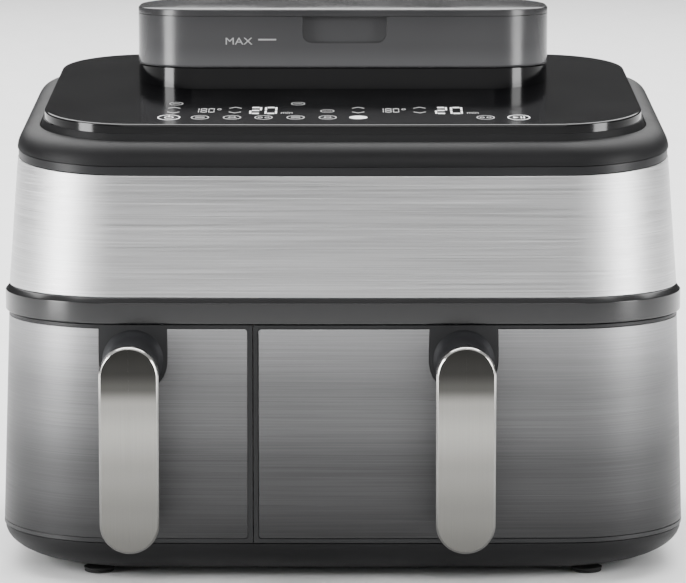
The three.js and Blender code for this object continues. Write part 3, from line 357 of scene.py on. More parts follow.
def along_height(tree, stops):
    """A colour ramp over height that paints shade; stops are (height in metres, brightness)."""
    place = node(tree, "ShaderNodeTexCoord")
    split = node(tree, "ShaderNodeSeparateXYZ")
    tree.links.new(place.outputs["Object"], split.inputs["Vector"])
    low, high = stops[0][0], stops[-1][0]
    height = spread(tree, split.outputs["Z"], 0, 1, low, high)
    ramp = node(tree, "ShaderNodeValToRGB")
    ramp.color_ramp.interpolation = "EASE"
    elements = ramp.color_ramp.elements
    for element, (z, level) in zip(elements, (stops[0], stops[-1])):
        element.color = (level, level, level, 1)
    for z, level in stops[1:-1]:
        elements.new((z - low) / (high - low)).color = (level, level, level, 1)
    tree.links.new(height, ramp.inputs["Fac"])
    return ramp.outputs["Color"]


def times(tree, first, second):
    """Two factors multiplied."""
    made = node(tree, "ShaderNodeMath", operation="MULTIPLY")
    tree.links.new(first, made.inputs[0])
    tree.links.new(second, made.inputs[1])
    return made.outputs["Value"]


# %% [markdown]
# Brushed steel is a belt-ground sheet. The scratches run level round the appliance, so the noise is drawn out
# sideways and squeezed in height. The same streaks change the colour, the gloss and the bump, and anisotropy
# along the streaks spreads the highlights up and down. The drawer fronts use a darker copy of the steel,
# which gets darker still towards the bottom. Both darkenings are painted shade in their colour, so they stay
# the same whatever the lights do.

# %% Brushed steel
def brushed(name, colour, roughness, shade=None):
    material, tree, shader = new_material(name, colour, roughness, 1.0, Anisotropic=0.75)
    fine = pattern(tree, 6, 3, (1, 1, 900))
    coarse = pattern(tree, 10, 5, (1, 1, 160))
    factor = times(tree, spread(tree, fine, 0.84, 1.08), spread(tree, coarse, 0.86, 1.1))
    if shade:
        factor = times(tree, factor, along_height(tree, shade))
    tree.links.new(tint(tree, colour, factor), shader.inputs["Base Color"])
    tree.links.new(spread(tree, fine, roughness * 0.8, roughness * 1.3), shader.inputs["Roughness"])
    bump(tree, shader, fine, 0.12, 0.00005)
    tangent = node(tree, "ShaderNodeTangent", direction_type="RADIAL", axis="Z")
    tree.links.new(tangent.outputs["Tangent"], shader.inputs["Tangent"])
    return material


upper_steel = brushed("upper_brushed_steel", (0.7, 0.7, 0.705), 0.34)
# Painted shade: the drawer steel is a darker copy of the upper steel, and it darkens further towards the
# bottom.
DRAWER_SHADE = [(DRAWER_Z, 0.12), (0.07, 0.22), (0.12, 0.48), (DRAWER_TOP, 1.0)]
shaded_drawer_steel = brushed("drawer_brushed_steel", (0.31, 0.31, 0.315), 0.34, DRAWER_SHADE)
sheet_metal = brushed("aluminised_sheet", (0.5, 0.51, 0.52), 0.42)
print("steels:", upper_steel.name, shaded_drawer_steel.name, sheet_metal.name)

# %% [markdown]
# The plastics differ in grain: the housing has a spark-eroded matte texture, the drawer frames are satin, and
# the band and top are polished, with only a trace of waviness.

# %% Plastics and the rest
matte_black = grained("matte_black_plastic", (0.0035, 0.0035, 0.004), 0.5, 2600, 0.35, Specular_IOR_Level=0.2)
satin_grey = grained("satin_grey_plastic", (0.010, 0.0102, 0.011), 0.42, 3200, 0.18, Specular_IOR_Level=0.3)
trim_grey = grained("trim_grey_plastic", (0.009, 0.0092, 0.01), 0.36, 3200, 0.12, Specular_IOR_Level=0.25)
gloss_black = grained("gloss_black_plastic", (0.003, 0.003, 0.0034), 0.12, 70, 0.01, Specular_IOR_Level=0.4)
band_black = grained("band_black_plastic", (0.008, 0.008, 0.0085), 0.2, 90, 0.01)
rubber = grained("rubber", (0.012, 0.012, 0.012), 0.8, 1800, 0.4)
silicone = grained("silicone", (0.6, 0.6, 0.58), 0.45, 900, 0.1, Subsurface_Weight=0.15)
gunmetal = grained("gunmetal_paint", (0.03, 0.0305, 0.033), 0.3, 2400, 0.06, 0.5)
coating = grained("non_stick_coating", (0.02, 0.02, 0.022), 0.42, 1300, 0.25)
board_green = grained("circuit_board_mask", (0.012, 0.1, 0.05), 0.35, 700, 0.2)
fibre = grained("pressed_fibre", (0.7, 0.66, 0.56), 0.9, 500, 0.8)
# The lip's pale grey is a painted reflection along the foot of the plate.
lip_painted_reflection = grained("lip_painted_reflection", (0.2, 0.2, 0.205), 0.35, 2000, 0.05)


def smoked(name, colour, roughness):
    """Tinted clear plastic with a painted shade that darkens it towards the lid, and slightly frosted inside.
    """
    material, tree, shader = new_material(name, colour, roughness, Transmission_Weight=0.2, IOR=1.46)
    low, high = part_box("water_tank")[0].z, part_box("tank_lid")[1].z
    # Painted shade: the tint darkens to 40 % towards the lid.
    shade = along_height(tree, [(low, 1.0), (low + 0.4 * (high - low), 0.62), (high, 0.4)])
    tree.links.new(tint(tree, colour, shade), shader.inputs["Base Color"])
    cloud = pattern(tree, 25, 3)
    tree.links.new(spread(tree, cloud, roughness * 0.8, roughness * 1.3), shader.inputs["Roughness"])
    bump(tree, shader, pattern(tree, 140, 2), 0.02)
    return material


smoke = smoked("smoked_clear_plastic", (0.1, 0.1, 0.104), 0.19)

HANDLE_Z = [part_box("left_handle_bar")[0].z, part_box("left_handle_bar")[1].z]


def satin_handle():
    """Champagne metal, bead-blasted and brushed lengthways, with a painted shade over its height."""
    colour = (0.60, 0.59, 0.55)
    material, tree, shader = new_material("satin_champagne", colour, 0.34, 1.0)
    length = HANDLE_Z[1] - HANDLE_Z[0]
    # Painted shade over the face's height: dim at the bottom, brightest a little above the middle, nearly
    # black at the top.
    stops = [(0, 0.2), (0.2, 0.28), (0.4, 0.4), (0.6, 0.63),
             (0.72, 0.52), (0.8, 0.14), (0.88, 0.06), (1, 0.04)]
    shade = along_height(tree, [(HANDLE_Z[0] + part * length, level) for part, level in stops])
    streak = pattern(tree, 14, 5, (160, 160, 1))
    factor = times(tree, shade, spread(tree, streak, 0.95, 1.05))
    tree.links.new(tint(tree, colour, factor), shader.inputs["Base Color"])
    tree.links.new(spread(tree, streak, 0.3, 0.4), shader.inputs["Roughness"])
    bump(tree, shader, pattern(tree, 3000, 2), 0.05, 0.00005)
    return material


champagne = satin_handle()


def polished_edge():
    """The chamfer round the handle: bright metal with a painted shade, darker towards the bottom."""
    colour = (0.8, 0.79, 0.76)
    material, tree, shader = new_material("polished_edge", colour, 0.16, 1.0)
    shade = along_height(tree, [(HANDLE_Z[0], 0.14), (HANDLE_Z[0] + 0.09, 0.3), (HANDLE_Z[1], 0.9)])
    worn = pattern(tree, 60, 3)
    factor = times(tree, shade, spread(tree, worn, 0.92, 1.05))
    tree.links.new(tint(tree, colour, factor), shader.inputs["Base Color"])
    tree.links.new(spread(tree, worn, 0.13, 0.22), shader.inputs["Roughness"])
    return material


polished = polished_edge()
print("finishes:", len(bpy.data.materials))

# %% [markdown]
# ## Base
# The base is a bowl: a quarter of an ellipse in section from the seam under the drawers down to a flat
# bottom. It is lofted in small steps, given its wall and cut with two fields of air slots underneath.

# %% Base bowl
BASE_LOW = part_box("base_pan")[0].z
BASE_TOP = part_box("base_pan")[1].z
BASE_TUCK = 45 * MM
BOWL_STEPS = 12


def bowl_ring(step):
    angle = math.pi / 2 * step / BOWL_STEPS
    inset = BASE_TUCK * (1 - math.sin(angle)) + 0.6 * MM
    return body_plan(inset), BASE_LOW + (BASE_TOP - BASE_LOW) * (1 - math.cos(angle))


base_shell = loft("base_shell", [bowl_ring(k) for k in range(BOWL_STEPS + 1)], caps=(True, False))
wall(base_shell, 2.6 * MM)
soften(base_shell, 0.5 * MM, 2, 60)


def block(name, low, high):
    """A box from corner to corner."""
    bpy.ops.object.select_all(action="DESELECT")
    centre = [(a + b) / 2 for a, b in zip(low, high)]
    bpy.ops.mesh.primitive_cube_add(size=1, location=centre)
    made = start(name)
    size = [b - a for a, b in zip(low, high)]
    bpy.ops.transform.resize(value=size, center_override=centre)
    bpy.ops.object.mode_set(mode="OBJECT")
    return made


def row_of_blocks(name, low, high, count, step):
    """The same box again and again, each one step further on, in one object."""
    made = block(name, low, high)
    modify(made, "ARRAY", count=count, use_relative_offset=False, use_constant_offset=True,
           constant_offset_displace=step)
    return made


for side in (-1, 1):
    slots = row_of_blocks("slots", (side * 0.09 - 0.04, -0.05, BASE_LOW - 0.002),
                          (side * 0.09 + 0.04, -0.046, BASE_LOW + 0.01), 12, (0, 0.011, 0))
    combine(base_shell, slots, "DIFFERENCE")
settle(base_shell)
finished(base_shell, "body", "dark_plastic", matte_black, "base_pan")

# %% [markdown]
# The feet are turned rubber pads with a groove round the side and a dished underside.

# %% Feet
def turned(name, profile, centre, axis=(0, 0, 1), steps=48):
    """Spins a profile of (radius, height) points into a closed round piece."""
    bpy.ops.object.select_all(action="DESELECT")
    mesh = bpy.data.meshes.new(name)
    points = [(radius, 0, height) for radius, height in profile]
    mesh.from_pydata(points, [(k, k + 1) for k in range(len(points) - 1)], [])
    made = bpy.data.objects.new(name, mesh)
    bpy.context.collection.objects.link(made)
    only(made)
    bpy.ops.object.mode_set(mode="EDIT")
    bpy.ops.mesh.select_all(action="SELECT")
    bpy.ops.mesh.spin(steps=steps, angle=2 * math.pi, center=(0, 0, 0), axis=(0, 0, 1))
    bpy.ops.mesh.remove_doubles(threshold=1e-6)
    bpy.ops.mesh.select_all(action="SELECT")
    bpy.ops.mesh.normals_make_consistent(inside=False)
    bpy.ops.object.mode_set(mode="OBJECT")
    made.rotation_euler = Vector((0, 0, 1)).rotation_difference(Vector(axis)).to_euler()
    made.location = centre
    bpy.ops.object.transform_apply(location=True, rotation=True, scale=True)
    return made


foot_low, foot_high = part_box("foot_front_left")
foot_radius = (foot_high.x - foot_low.x) / 2
foot_top = foot_high.z
FOOT_PROFILE = [
    (0, 0.0008), (foot_radius * 0.55, 0.0008), (foot_radius * 0.62, 0), (foot_radius - 0.0016, 0),
    (foot_radius - 0.0006, 0.0004), (foot_radius - 0.0003, 0.0011), (foot_radius - 0.0009, 0.0015),
    (foot_radius - 0.0009, 0.0019), (foot_radius - 0.0002, 0.0022), (foot_radius, foot_top), (0, foot_top),
]
for place in ("front_left", "front_right", "rear_left", "rear_right"):
    low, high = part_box(f"foot_{place}")
    pad = turned(f"pad_{place}", FOOT_PROFILE, ((low.x + high.x) / 2, (low.y + high.y) / 2, 0))
    finished(pad, "body", "rubber", rubber, f"foot_{place}")

# %% [markdown]
# ## Drawer fronts
# Each front is a dark moulded frame that wraps round the corner, with a thin brushed steel panel let into it.
# The panel leaves a round-bottomed notch for the handle. One block, the window, gives both the shape of the
# panel and, made a little larger, the recess in the frame.

# %% Window block
PANEL_LOW, PANEL_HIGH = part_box("right_drawer_panel")
PANEL_SIDE = 3.4 * MM
PANEL_ROUNDING = 2 * MM
NOTCH_RADIUS = 22 * MM
BOSS_Z = (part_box("left_handle_arm")[0].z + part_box("left_handle_arm")[1].z) / 2
HANDLE_X = {}
for name in SIDES:
    bar_low, bar_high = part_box(f"{name}_handle_bar")
    HANDLE_X[name] = (bar_low.x + bar_high.x) / 2
BEYOND = 0.3
NEARLY_ROUND = 0.999  # an end bevelled by exactly half its width would leave edges of no length
print("handles at", {name: round(x, 4) for name, x in HANDLE_X.items()})


def slab_along_y(name, low, high, depth, radius):
    """A rounded rectangle seen from the front, as a slab through a range of depth."""
    bpy.ops.object.select_all(action="DESELECT")
    centre = ((low[0] + high[0]) / 2, depth[1], (low[1] + high[1]) / 2)
    bpy.ops.mesh.primitive_plane_add(size=1, location=centre, rotation=(math.pi / 2, 0, 0))
    made = start(name)
    bpy.ops.transform.resize(value=(high[0] - low[0], 1, high[1] - low[1]), center_override=centre)
    bpy.ops.mesh.bevel(offset=radius, segments=24 if radius > 0.01 else 6, affect="VERTICES")
    bpy.ops.mesh.extrude_region_move(TRANSFORM_OT_translate={"value": (0, depth[0] - depth[1], 0)})
    bpy.ops.mesh.select_all(action="SELECT")
    bpy.ops.mesh.normals_make_consistent(inside=False)
    bpy.ops.object.mode_set(mode="OBJECT")
    return made


def window(name, grow):
    """The panel's outline grown by a clearance, as a slab through the front."""
    inner = DIVIDER_X + SIDES[name] * (0.25 * MM + PANEL_SIDE - grow)
    xs = sorted((inner, SIDES[name] * BEYOND))
    depth = (FRONT - 0.02, SEAM_Y - 2 * MM + grow)
    made = slab_along_y("window", (xs[0], PANEL_LOW.z - grow), (xs[1], PANEL_HIGH.z + grow),
                        depth, PANEL_ROUNDING)
    half = NOTCH_RADIUS - grow
    x = HANDLE_X[name]
    notch = slab_along_y("notch", (x - half, BOSS_Z - half), (x + half, BOSS_Z + BEYOND),
                         (-BEYOND, 0), half * NEARLY_ROUND)
    combine(made, notch, "DIFFERENCE")
    return made


# %% [markdown]
# The frames start as one skin between the seam and the band. It is cut at the divider and at the side seam,
# then given its wall. The recess is the same skin, thicker, inside the window.

# %% Drawer frames and panels
def lower_skin(name, offset):
    """The lower wall as an open skin, moved in by an offset."""
    heights = (DRAWER_Z, DRAWER_TOP)
    return loft(name, [(body_plan(offset + lower_inset(z)), z) for z in heights])


def front_part(obj, name):
    """Keeps one drawer's share of a skin."""
    slice_off(obj, (0, SEAM_Y - 0.15 * MM, 0), (0, 1, 0))
    sign = SIDES[name]
    slice_off(obj, (DIVIDER_X + sign * 0.25 * MM, 0, 0), (-sign, 0, 0))


def tall_skin(offset):
    """A skin that stands past the drawer's edges, for cutting."""
    heights = (DRAWER_Z - 0.01, DRAWER_TOP + 0.01)
    return loft("tall", [(body_plan(offset + lower_inset(z)), z) for z in heights])


for name in SIDES:
    front = lower_skin(f"{name}_front_frame", 0)
    front_part(front, name)
    wall(front, 4.3 * MM)
    recess = tall_skin(-4 * MM)
    wall(recess, 5.3 * MM)
    combine(recess, window(name, 0.3 * MM), "INTERSECT")
    combine(front, recess, "DIFFERENCE")
    soften(front, 0.5 * MM, 3, 50)
    settle(front)
    finished(front, f"{name}_drawer", "frame_plastic", satin_grey, f"{name}_drawer_frame")
    panel = tall_skin(0)
    wall(panel, 1.0 * MM)
    combine(panel, window(name, 0), "INTERSECT")
    soften(panel, 0.35 * MM, 3, 50)
    settle(panel)
    finished(panel, f"{name}_drawer", "brushed_steel", shaded_drawer_steel, f"{name}_drawer_panel")

# %% [markdown]
# ## Handles
# A handle is a tall metal slat with a polished chamfer, carried by an arm that flares into a round boss on
# the drawer. The slat is a rounded plane, extruded and bevelled. Its broad face keeps its own flat normal,
# so that it mirrors as one plane.

# %% Handle slats
BAR_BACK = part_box("left_handle_bar")[1].y
CHAMFER = 1.3 * MM

for name in SIDES:
    low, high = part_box(f"{name}_handle_bar")
    half = (high.x - low.x) / 2
    slat = slab_along_y(f"{name}_slat", (low.x, low.z), (high.x, high.z),
                        (low.y, high.y), half * NEARLY_ROUND)
    only(slat)
    bpy.ops.object.mode_set(mode="EDIT")
    pick(slat, "EDGE", lambda e: all(abs(v.co.y - low.y) < 1e-6 for v in e.verts))
    bpy.ops.mesh.bevel(offset=CHAMFER, segments=1, affect="EDGES")
    pick(slat, "EDGE", lambda e: all(abs(v.co.y - high.y) < 1e-6 for v in e.verts))
    bpy.ops.mesh.bevel(offset=1.5 * MM, segments=3, affect="EDGES")
    bpy.ops.object.mode_set(mode="OBJECT")
    slat.data.materials.append(champagne)
    slat.data.materials.append(polished)
    for face in slat.data.polygons:
        face.material_index = 0 if face.normal.y < -0.98 else 1
    soften(slat, 0.25 * MM, 2, 30)
    finished(slat, f"{name}_drawer", "handle_metal", None, f"{name}_handle_bar", angle=25, weighted=False)
    for face in slat.data.polygons:
        face.use_smooth = face.material_index == 1

# %% [markdown]
# The arm flares at both ends, so its width follows two decaying curves, one from each end. A disc that is
# extruded and scaled step by step follows them, where a single scaled cylinder would leave a straight cone.

# %% Handle arms
ARM_Z = HANDLE_Z[1] - (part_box("left_handle_bar")[1].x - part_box("left_handle_bar")[0].x) / 2
BOSS_RADIUS = 20 * MM
ARM_STEPS = 14


def arm_section(part):
    """Radius and height of the arm at a part of its way from the drawer to the slat."""
    waist, end = 14.6 * MM, 17.2 * MM
    flare = math.exp(-7 * part)
    grip = math.exp(-9 * (1 - part))
    radius = waist + (BOSS_RADIUS - waist) * flare + (end - waist) * grip
    return radius, BOSS_Z + (ARM_Z - BOSS_Z) * part


def round_arm(name, x, y0, y1):
    """A disc extruded forward in steps, each scaled to its section."""
    bpy.ops.object.select_all(action="DESELECT")
    bpy.ops.mesh.primitive_circle_add(vertices=64, radius=BOSS_RADIUS, fill_type="NGON",
                                      location=(x, y0, BOSS_Z), rotation=(math.pi / 2, 0, 0))
    made = start(name)
    radius_now, z_now = BOSS_RADIUS, BOSS_Z
    for step in range(1, ARM_STEPS + 1):
        radius, z = arm_section(step / ARM_STEPS)
        move = (0, (y1 - y0) / ARM_STEPS, z - z_now)
        bpy.ops.mesh.extrude_region_move(TRANSFORM_OT_translate={"value": move})
        centre = (x, y0 + (y1 - y0) * step / ARM_STEPS, z)
        scale = radius / radius_now
        bpy.ops.transform.resize(value=(scale, 1, scale), center_override=centre)
        radius_now, z_now = radius, z
    bpy.ops.mesh.select_all(action="SELECT")
    bpy.ops.mesh.normals_make_consistent(inside=False)
    bpy.ops.object.mode_set(mode="OBJECT")
    return made


for name in SIDES:
    x = HANDLE_X[name]
    surface = FRONT + BOW * (x / HALF_WIDTH) ** 2 + lower_inset(BOSS_Z)
    arm = round_arm(f"{name}_arm", x, surface + 0.6 * MM, BAR_BACK + 0.2 * MM)
    soften(arm, 0.6 * MM, 3, 50)
    finished(arm, f"{name}_drawer", "gunmetal", gunmetal, f"{name}_handle_arm")

# %% [markdown]
# ## Band and upper skin
# The band is a polished strip that stands proud of the steel and has a wide bevel on its upper edge. The
# upper skin is brushed steel that leans back to the trim.

# %% Band
BAND_TOP = UPPER_Z - 0.25 * MM
BAND_RINGS = [(3.5, BAND_Z + 0.3 * MM), (2.8, BAND_Z + 0.6 * MM), (2.5, BAND_Z + 1.3 * MM),
              (2.5, BAND_TOP - 3.4 * MM), (2.6, BAND_TOP - 2.9 * MM), (4.7, BAND_TOP - 0.3 * MM),
              (5.1, BAND_TOP)]
band = loft("band", [(body_plan(inset * MM), z) for inset, z in BAND_RINGS])
slice_off(band, (0, SEAM_Y - 0.15 * MM, 0), (0, 1, 0))
wall(band, 2.4 * MM)
settle(band)
finished(band, "body", "gloss_black", band_black, "mid_band", angle=30)

# %% [markdown]
# The upper skin is a single sheet. It needs only two outlines, because its wall is straight from the band to
# the trim, and the tilt comes afterwards in settle.

# %% Upper skin
SKIN_RINGS = [(body_plan(FOOT_INSET), UPPER_Z + 0.25 * MM), (body_plan(HEAD_INSET), TRIM_Z - 0.25 * MM)]
upper_skin = loft("upper_skin", SKIN_RINGS)
slice_off(upper_skin, (0, SEAM_Y - 0.15 * MM, 0), (0, 1, 0))
wall(upper_skin, 1.0 * MM)
soften(upper_skin, 0.3 * MM, 2, 50)
settle(upper_skin)
finished(upper_skin, "body", "brushed_steel", upper_steel, "upper_steel_wrap")

# %% [markdown]
# ## Rear housing
# One matte moulding closes the sides and the back. It has two windows for the exhaust grilles and a hole for
# the cord gland.

# %% Rear housing
HOUSING_RINGS = [(body_plan(lower_inset(DRAWER_Z)), DRAWER_Z), (body_plan(lower_inset(BAND_Z)), BAND_Z),
                 (body_plan(FOOT_INSET), UPPER_Z), (body_plan(HEAD_INSET), TRIM_Z - 0.25 * MM)]
rear = loft("rear_shell", HOUSING_RINGS)
slice_off(rear, (0, SEAM_Y + 0.15 * MM, 0), (0, -1, 0))
wall(rear, 2.5 * MM)
settle(rear)
for side in ("left", "right"):
    low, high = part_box(f"exhaust_grille_{side}")
    hole = block("hole", (low.x - 0.3 * MM, BACK - 0.03, low.z - 0.3 * MM),
                 (high.x + 0.3 * MM, BACK + 0.01, high.z + 0.3 * MM))
    combine(rear, hole, "DIFFERENCE")
gland_low, gland_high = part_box("cord_gland")
gland_x, gland_z = (gland_low.x + gland_high.x) / 2, (gland_low.z + gland_high.z) / 2
gland_hole = turned("gland_hole", [(0, -0.02), (8.3 * MM, -0.02), (8.3 * MM, 0.02), (0, 0.02)],
                    (gland_x, BACK - 2 * MM, gland_z), (0, 1, 0))
combine(rear, gland_hole, "DIFFERENCE")
soften(rear, 0.5 * MM, 2, 50)
finished(rear, "body", "dark_plastic", matte_black, "rear_housing")

# %% [markdown]
# A grille is a thin rim with slanted louvres. One louvre is modelled and repeated, and the rim is a plate
# with its middle cut out.

# %% Exhaust grilles
GRILLE_RIM = 5 * MM
LOUVRES = 7


def grille(name, node_name):
    low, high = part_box(node_name)
    lean = (high.y - low.y) - 2.5 * MM
    rim = block(name, (low.x, high.y - 3.4 * MM, low.z), (high.x, high.y - 0.4 * MM, high.z))
    opening = block("opening", (low.x + GRILLE_RIM, low.y - 0.01, low.z + GRILLE_RIM),
                    (high.x - GRILLE_RIM, high.y + 0.01, high.z - GRILLE_RIM))
    combine(rim, opening, "DIFFERENCE")
    pitch = (high.z - low.z - 2 * GRILLE_RIM) / LOUVRES
    first = low.z + GRILLE_RIM
    slat = block("slat", (low.x + 4.9 * MM, high.y - 3.2 * MM, first + 1.2 * MM),
                 (high.x - 4.9 * MM, high.y - 0.8 * MM, first + 2.8 * MM))
    only(slat)
    bpy.ops.object.mode_set(mode="EDIT")
    pick(slat, "FACE", lambda f: f.normal.y > 0.9)
    bpy.ops.transform.translate(value=(0, 0, -1.4 * MM))
    bpy.ops.object.mode_set(mode="OBJECT")
    modify(slat, "ARRAY", count=LOUVRES, use_relative_offset=False, use_constant_offset=True,
           constant_offset_displace=(0, 0, pitch))
    combine(rim, slat, "UNION")
    for v in rim.data.vertices:
        v.co.y -= lean * (v.co.z - low.z) / (high.z - low.z)
    soften(rim, 0.3 * MM, 2, 50)
    return rim


for side in ("left", "right"):
    made = grille(f"louvres_{side}", f"exhaust_grille_{side}")
    finished(made, "body", "dark_plastic", matte_black, f"exhaust_grille_{side}")

# %% [markdown]
# ## Top
# Above the steel sits a thin satin ring, then a matte shoulder that rolls over in a quarter turn and ends in
# a groove. The glossy plate stands on it with a fine lip between them, whose pale grey is a painted
# reflection.

# %% Trim ring and shoulder
TRIM_INSET = HEAD_INSET + 0.4 * MM
trim = loft("trim_ring", [(body_plan(TRIM_INSET), TRIM_Z), (body_plan(TRIM_INSET), SHOULDER_Z - 0.3 * MM)])
wall(trim, 3.4 * MM)
soften(trim, 0.5 * MM, 3, 50)
settle(trim)
finished(trim, "body", "trim_plastic", trim_grey, "shoulder_trim")

SHOULDER_INSET = HEAD_INSET - 0.2 * MM
ROLL_STEPS = 14
ROLL_WIDTH = PLATE_INSET - 3.5 * MM - SHOULDER_INSET
ROLL_RISE = 13.8 * MM


def roll_ring(step):
    angle = math.pi / 2 * step / ROLL_STEPS
    inset = SHOULDER_INSET + ROLL_WIDTH * (1 - math.cos(angle))
    return body_plan(inset), SHOULDER_Z + ROLL_RISE * math.sin(angle)


LEDGE = [(PLATE_INSET - 3.0 * MM, ROLL_RISE - 0.3 * MM), (PLATE_INSET - 2.6 * MM, ROLL_RISE - 1.6 * MM),
         (PLATE_INSET - 0.6 * MM, ROLL_RISE - 1.6 * MM), (PLATE_INSET + 0.6 * MM, 15.6 * MM),
         (PLATE_INSET + 9 * MM, 15.6 * MM)]
shoulder_rings = [roll_ring(step) for step in range(ROLL_STEPS + 1)]
shoulder_rings += [(body_plan(inset), SHOULDER_Z + rise) for inset, rise in LEDGE]
shoulder = loft("shoulder", shoulder_rings)
wall(shoulder, 2.0 * MM)
settle(shoulder)
finished(shoulder, "body", "dark_plastic", matte_black, "top_shoulder")

# The lip is coloured pale grey as a painted reflection.
lip = loft("plate_lip", [(body_plan(PLATE_INSET - 1.3 * MM), SHOULDER_Z + 13.6 * MM),
                         (body_plan(PLATE_INSET - 1.3 * MM), SHOULDER_Z + 14.9 * MM)])
wall(lip, 1.2 * MM)
soften(lip, 0.3 * MM, 2, 50)
settle(lip)
finished(lip, "body", "trim_plastic", lip_painted_reflection)

# %% [markdown]
# The plate is an upturned tray of black glass-like plastic with a small rounded edge.

# %% Top plate
plate_rings = [(body_plan(PLATE_INSET), PLATE_Z), (body_plan(PLATE_INSET), PLATE_TOP)]
plate = loft("plate", plate_rings, caps=(False, True))
only(plate)
bpy.ops.object.mode_set(mode="EDIT")
pick(plate, "EDGE", lambda e: all(abs(v.co.z - PLATE_TOP) < 1e-6 for v in e.verts) and len(e.link_faces) == 2)
bpy.ops.mesh.bevel(offset=1.3 * MM, segments=5, affect="EDGES")
bpy.ops.object.mode_set(mode="OBJECT")
wall(plate, 3.0 * MM)
settle(plate)
finished(plate, "body", "gloss_black", gloss_black, "top_plate", angle=25)

# %% [markdown]
# ## Touch symbols
# The symbols are printed behind the surface. Each is a thin flat piece just above the plate: rings from
# circles, chevrons and bars from flat polygons, digits from seven bars, and the word for minutes from text
# that is made a mesh. They show only generic pictograms and numbers.

# %% Symbols
PLATE_FRONT = FRONT + PLATE_INSET
PRINT_LIFT = 0.12 * MM


# The prints also glow faintly by emission. This glow is painted light, since nothing lights them.
def print_with_painted_glow(name, level, glow):
    material, tree, shader = new_material(name, (level, level, level), 0.4)
    shader.inputs["Emission Color"].default_value = (level, level, level, 1)
    shader.inputs["Emission Strength"].default_value = glow
    tree.links.new(spread(tree, pattern(tree, 900, 2), 0.35, 0.5), shader.inputs["Roughness"])
    return material


bright_print = print_with_painted_glow("bright_print", 0.8, 0.35)
dim_print = print_with_painted_glow("dim_print", 0.35, 0.12)
prints = {"bright": [], "dim": []}


def plane_shape(points):
    """A flat polygon through free points. Mesh code gives it directly."""
    mesh = bpy.data.meshes.new("print")
    mesh.from_pydata([(x, y, 0) for x, y in points], [], [range(len(points))])
    made = bpy.data.objects.new("print", mesh)
    bpy.context.collection.objects.link(made)
    return made


def ring_print(x, y, radius, line, stretch=1.25):
    bpy.ops.object.select_all(action="DESELECT")
    bpy.ops.mesh.primitive_circle_add(vertices=40, radius=radius, fill_type="NGON", location=(0, 0, 0))
    made = start("print")
    bpy.ops.mesh.select_all(action="SELECT")
    bpy.ops.mesh.inset(thickness=line)
    bpy.ops.mesh.delete(type="FACE")
    bpy.ops.object.mode_set(mode="OBJECT")
    for v in made.data.vertices:
        v.co = (x + v.co.x, y + v.co.y * stretch, 0)
    return made


def bar_print(x, y, width, depth):
    w, d = width / 2, depth / 2
    return plane_shape([(x - w, y - d), (x + w, y - d), (x + w, y + d), (x - w, y + d)])


def chevron_print(x, y, width, rise, line):
    w = width / 2
    corners = [(-w, 0), (0, rise), (w, 0), (w, line), (0, rise + line), (-w, line)]
    return plane_shape([(x + a, y + b) for a, b in corners])


def text_print(x, y, width, depth, words):
    """Words stretched to a width and depth."""
    curve = bpy.data.curves.new("print", "FONT")
    curve.body = words
    made = bpy.data.objects.new("print", curve)
    bpy.context.collection.objects.link(made)
    only(made)
    bpy.ops.object.convert(target="MESH")
    made = bpy.context.object
    xs = [v.co.x for v in made.data.vertices]
    ys = [v.co.y for v in made.data.vertices]
    for v in made.data.vertices:
        across = (v.co.x - min(xs)) / (max(xs) - min(xs)) - 0.5
        along = (v.co.y - min(ys)) / (max(ys) - min(ys)) - 0.5
        v.co = (x + width * across, y + depth * along, 0)
    return made


SEGMENTS = {"0": "abcdef", "1": "bc", "2": "abged", "8": "abcdefg"}
LEVEL_SEGMENTS = {"a": 1, "g": 0, "d": -1}
UPRIGHT_SEGMENTS = {"f": (-1, 1), "b": (1, 1), "e": (-1, -1), "c": (1, -1)}


def digit_print(x, y, width, depth, digit):
    """A seven-segment digit made of bars; its bars are wider along the depth, which is seen foreshortened."""
    line, band = width * 0.16, depth * 0.15
    made = []
    for segment in SEGMENTS[digit]:
        if segment in LEVEL_SEGMENTS:
            rise = LEVEL_SEGMENTS[segment] * (depth - band) / 2
            made.append(bar_print(x, y + rise, width - 2.6 * line, band))
        else:
            across, along = UPRIGHT_SEGMENTS[segment]
            made.append(bar_print(x + across * (width - line) / 2, y + along * depth / 4, line, depth * 0.42))
    return made


def number_print(x, y, width, depth, digits):
    """Digits side by side, centred on x."""
    pitch = width / len(digits)
    made = []
    for k, digit in enumerate(digits):
        made += digit_print(x + (k - (len(digits) - 1) / 2) * pitch, y, pitch * 0.8, depth, digit)
    return made


def key_symbol(x, y, kind):
    """A round key with a small generic pictogram inside."""
    main = kind in ("power", "start")
    made = [ring_print(x, y, (7.4 if main else 5.9) * MM, 0.8 * MM)]
    if kind == "power":
        made += [ring_print(x, y, 3.0 * MM, 0.7 * MM), bar_print(x, y + 4 * MM, 0.8 * MM, 5 * MM)]
    elif kind == "start":
        made.append(plane_shape([(x - 3.6 * MM, y - 3 * MM), (x, y), (x - 3.6 * MM, y + 3 * MM)]))
        made += [bar_print(x + k * MM, y, 1 * MM, 6 * MM) for k in (1.6, 3.4)]
    elif kind == "waves":
        made += [bar_print(x, y + k * 2.6 * MM, 6 * MM, 1.1 * MM) for k in (-1, 0, 1)]
    elif kind == "dish":
        made.append(bar_print(x, y - 2.6 * MM, 6.6 * MM, 1.1 * MM))
        made.append(ring_print(x, y + 1 * MM, 2.4 * MM, 0.7 * MM))
    elif kind == "drops":
        made += [ring_print(x + k * 2.2 * MM, y, 1.6 * MM, 0.7 * MM, 1.6) for k in (-1, 1)]
    return made


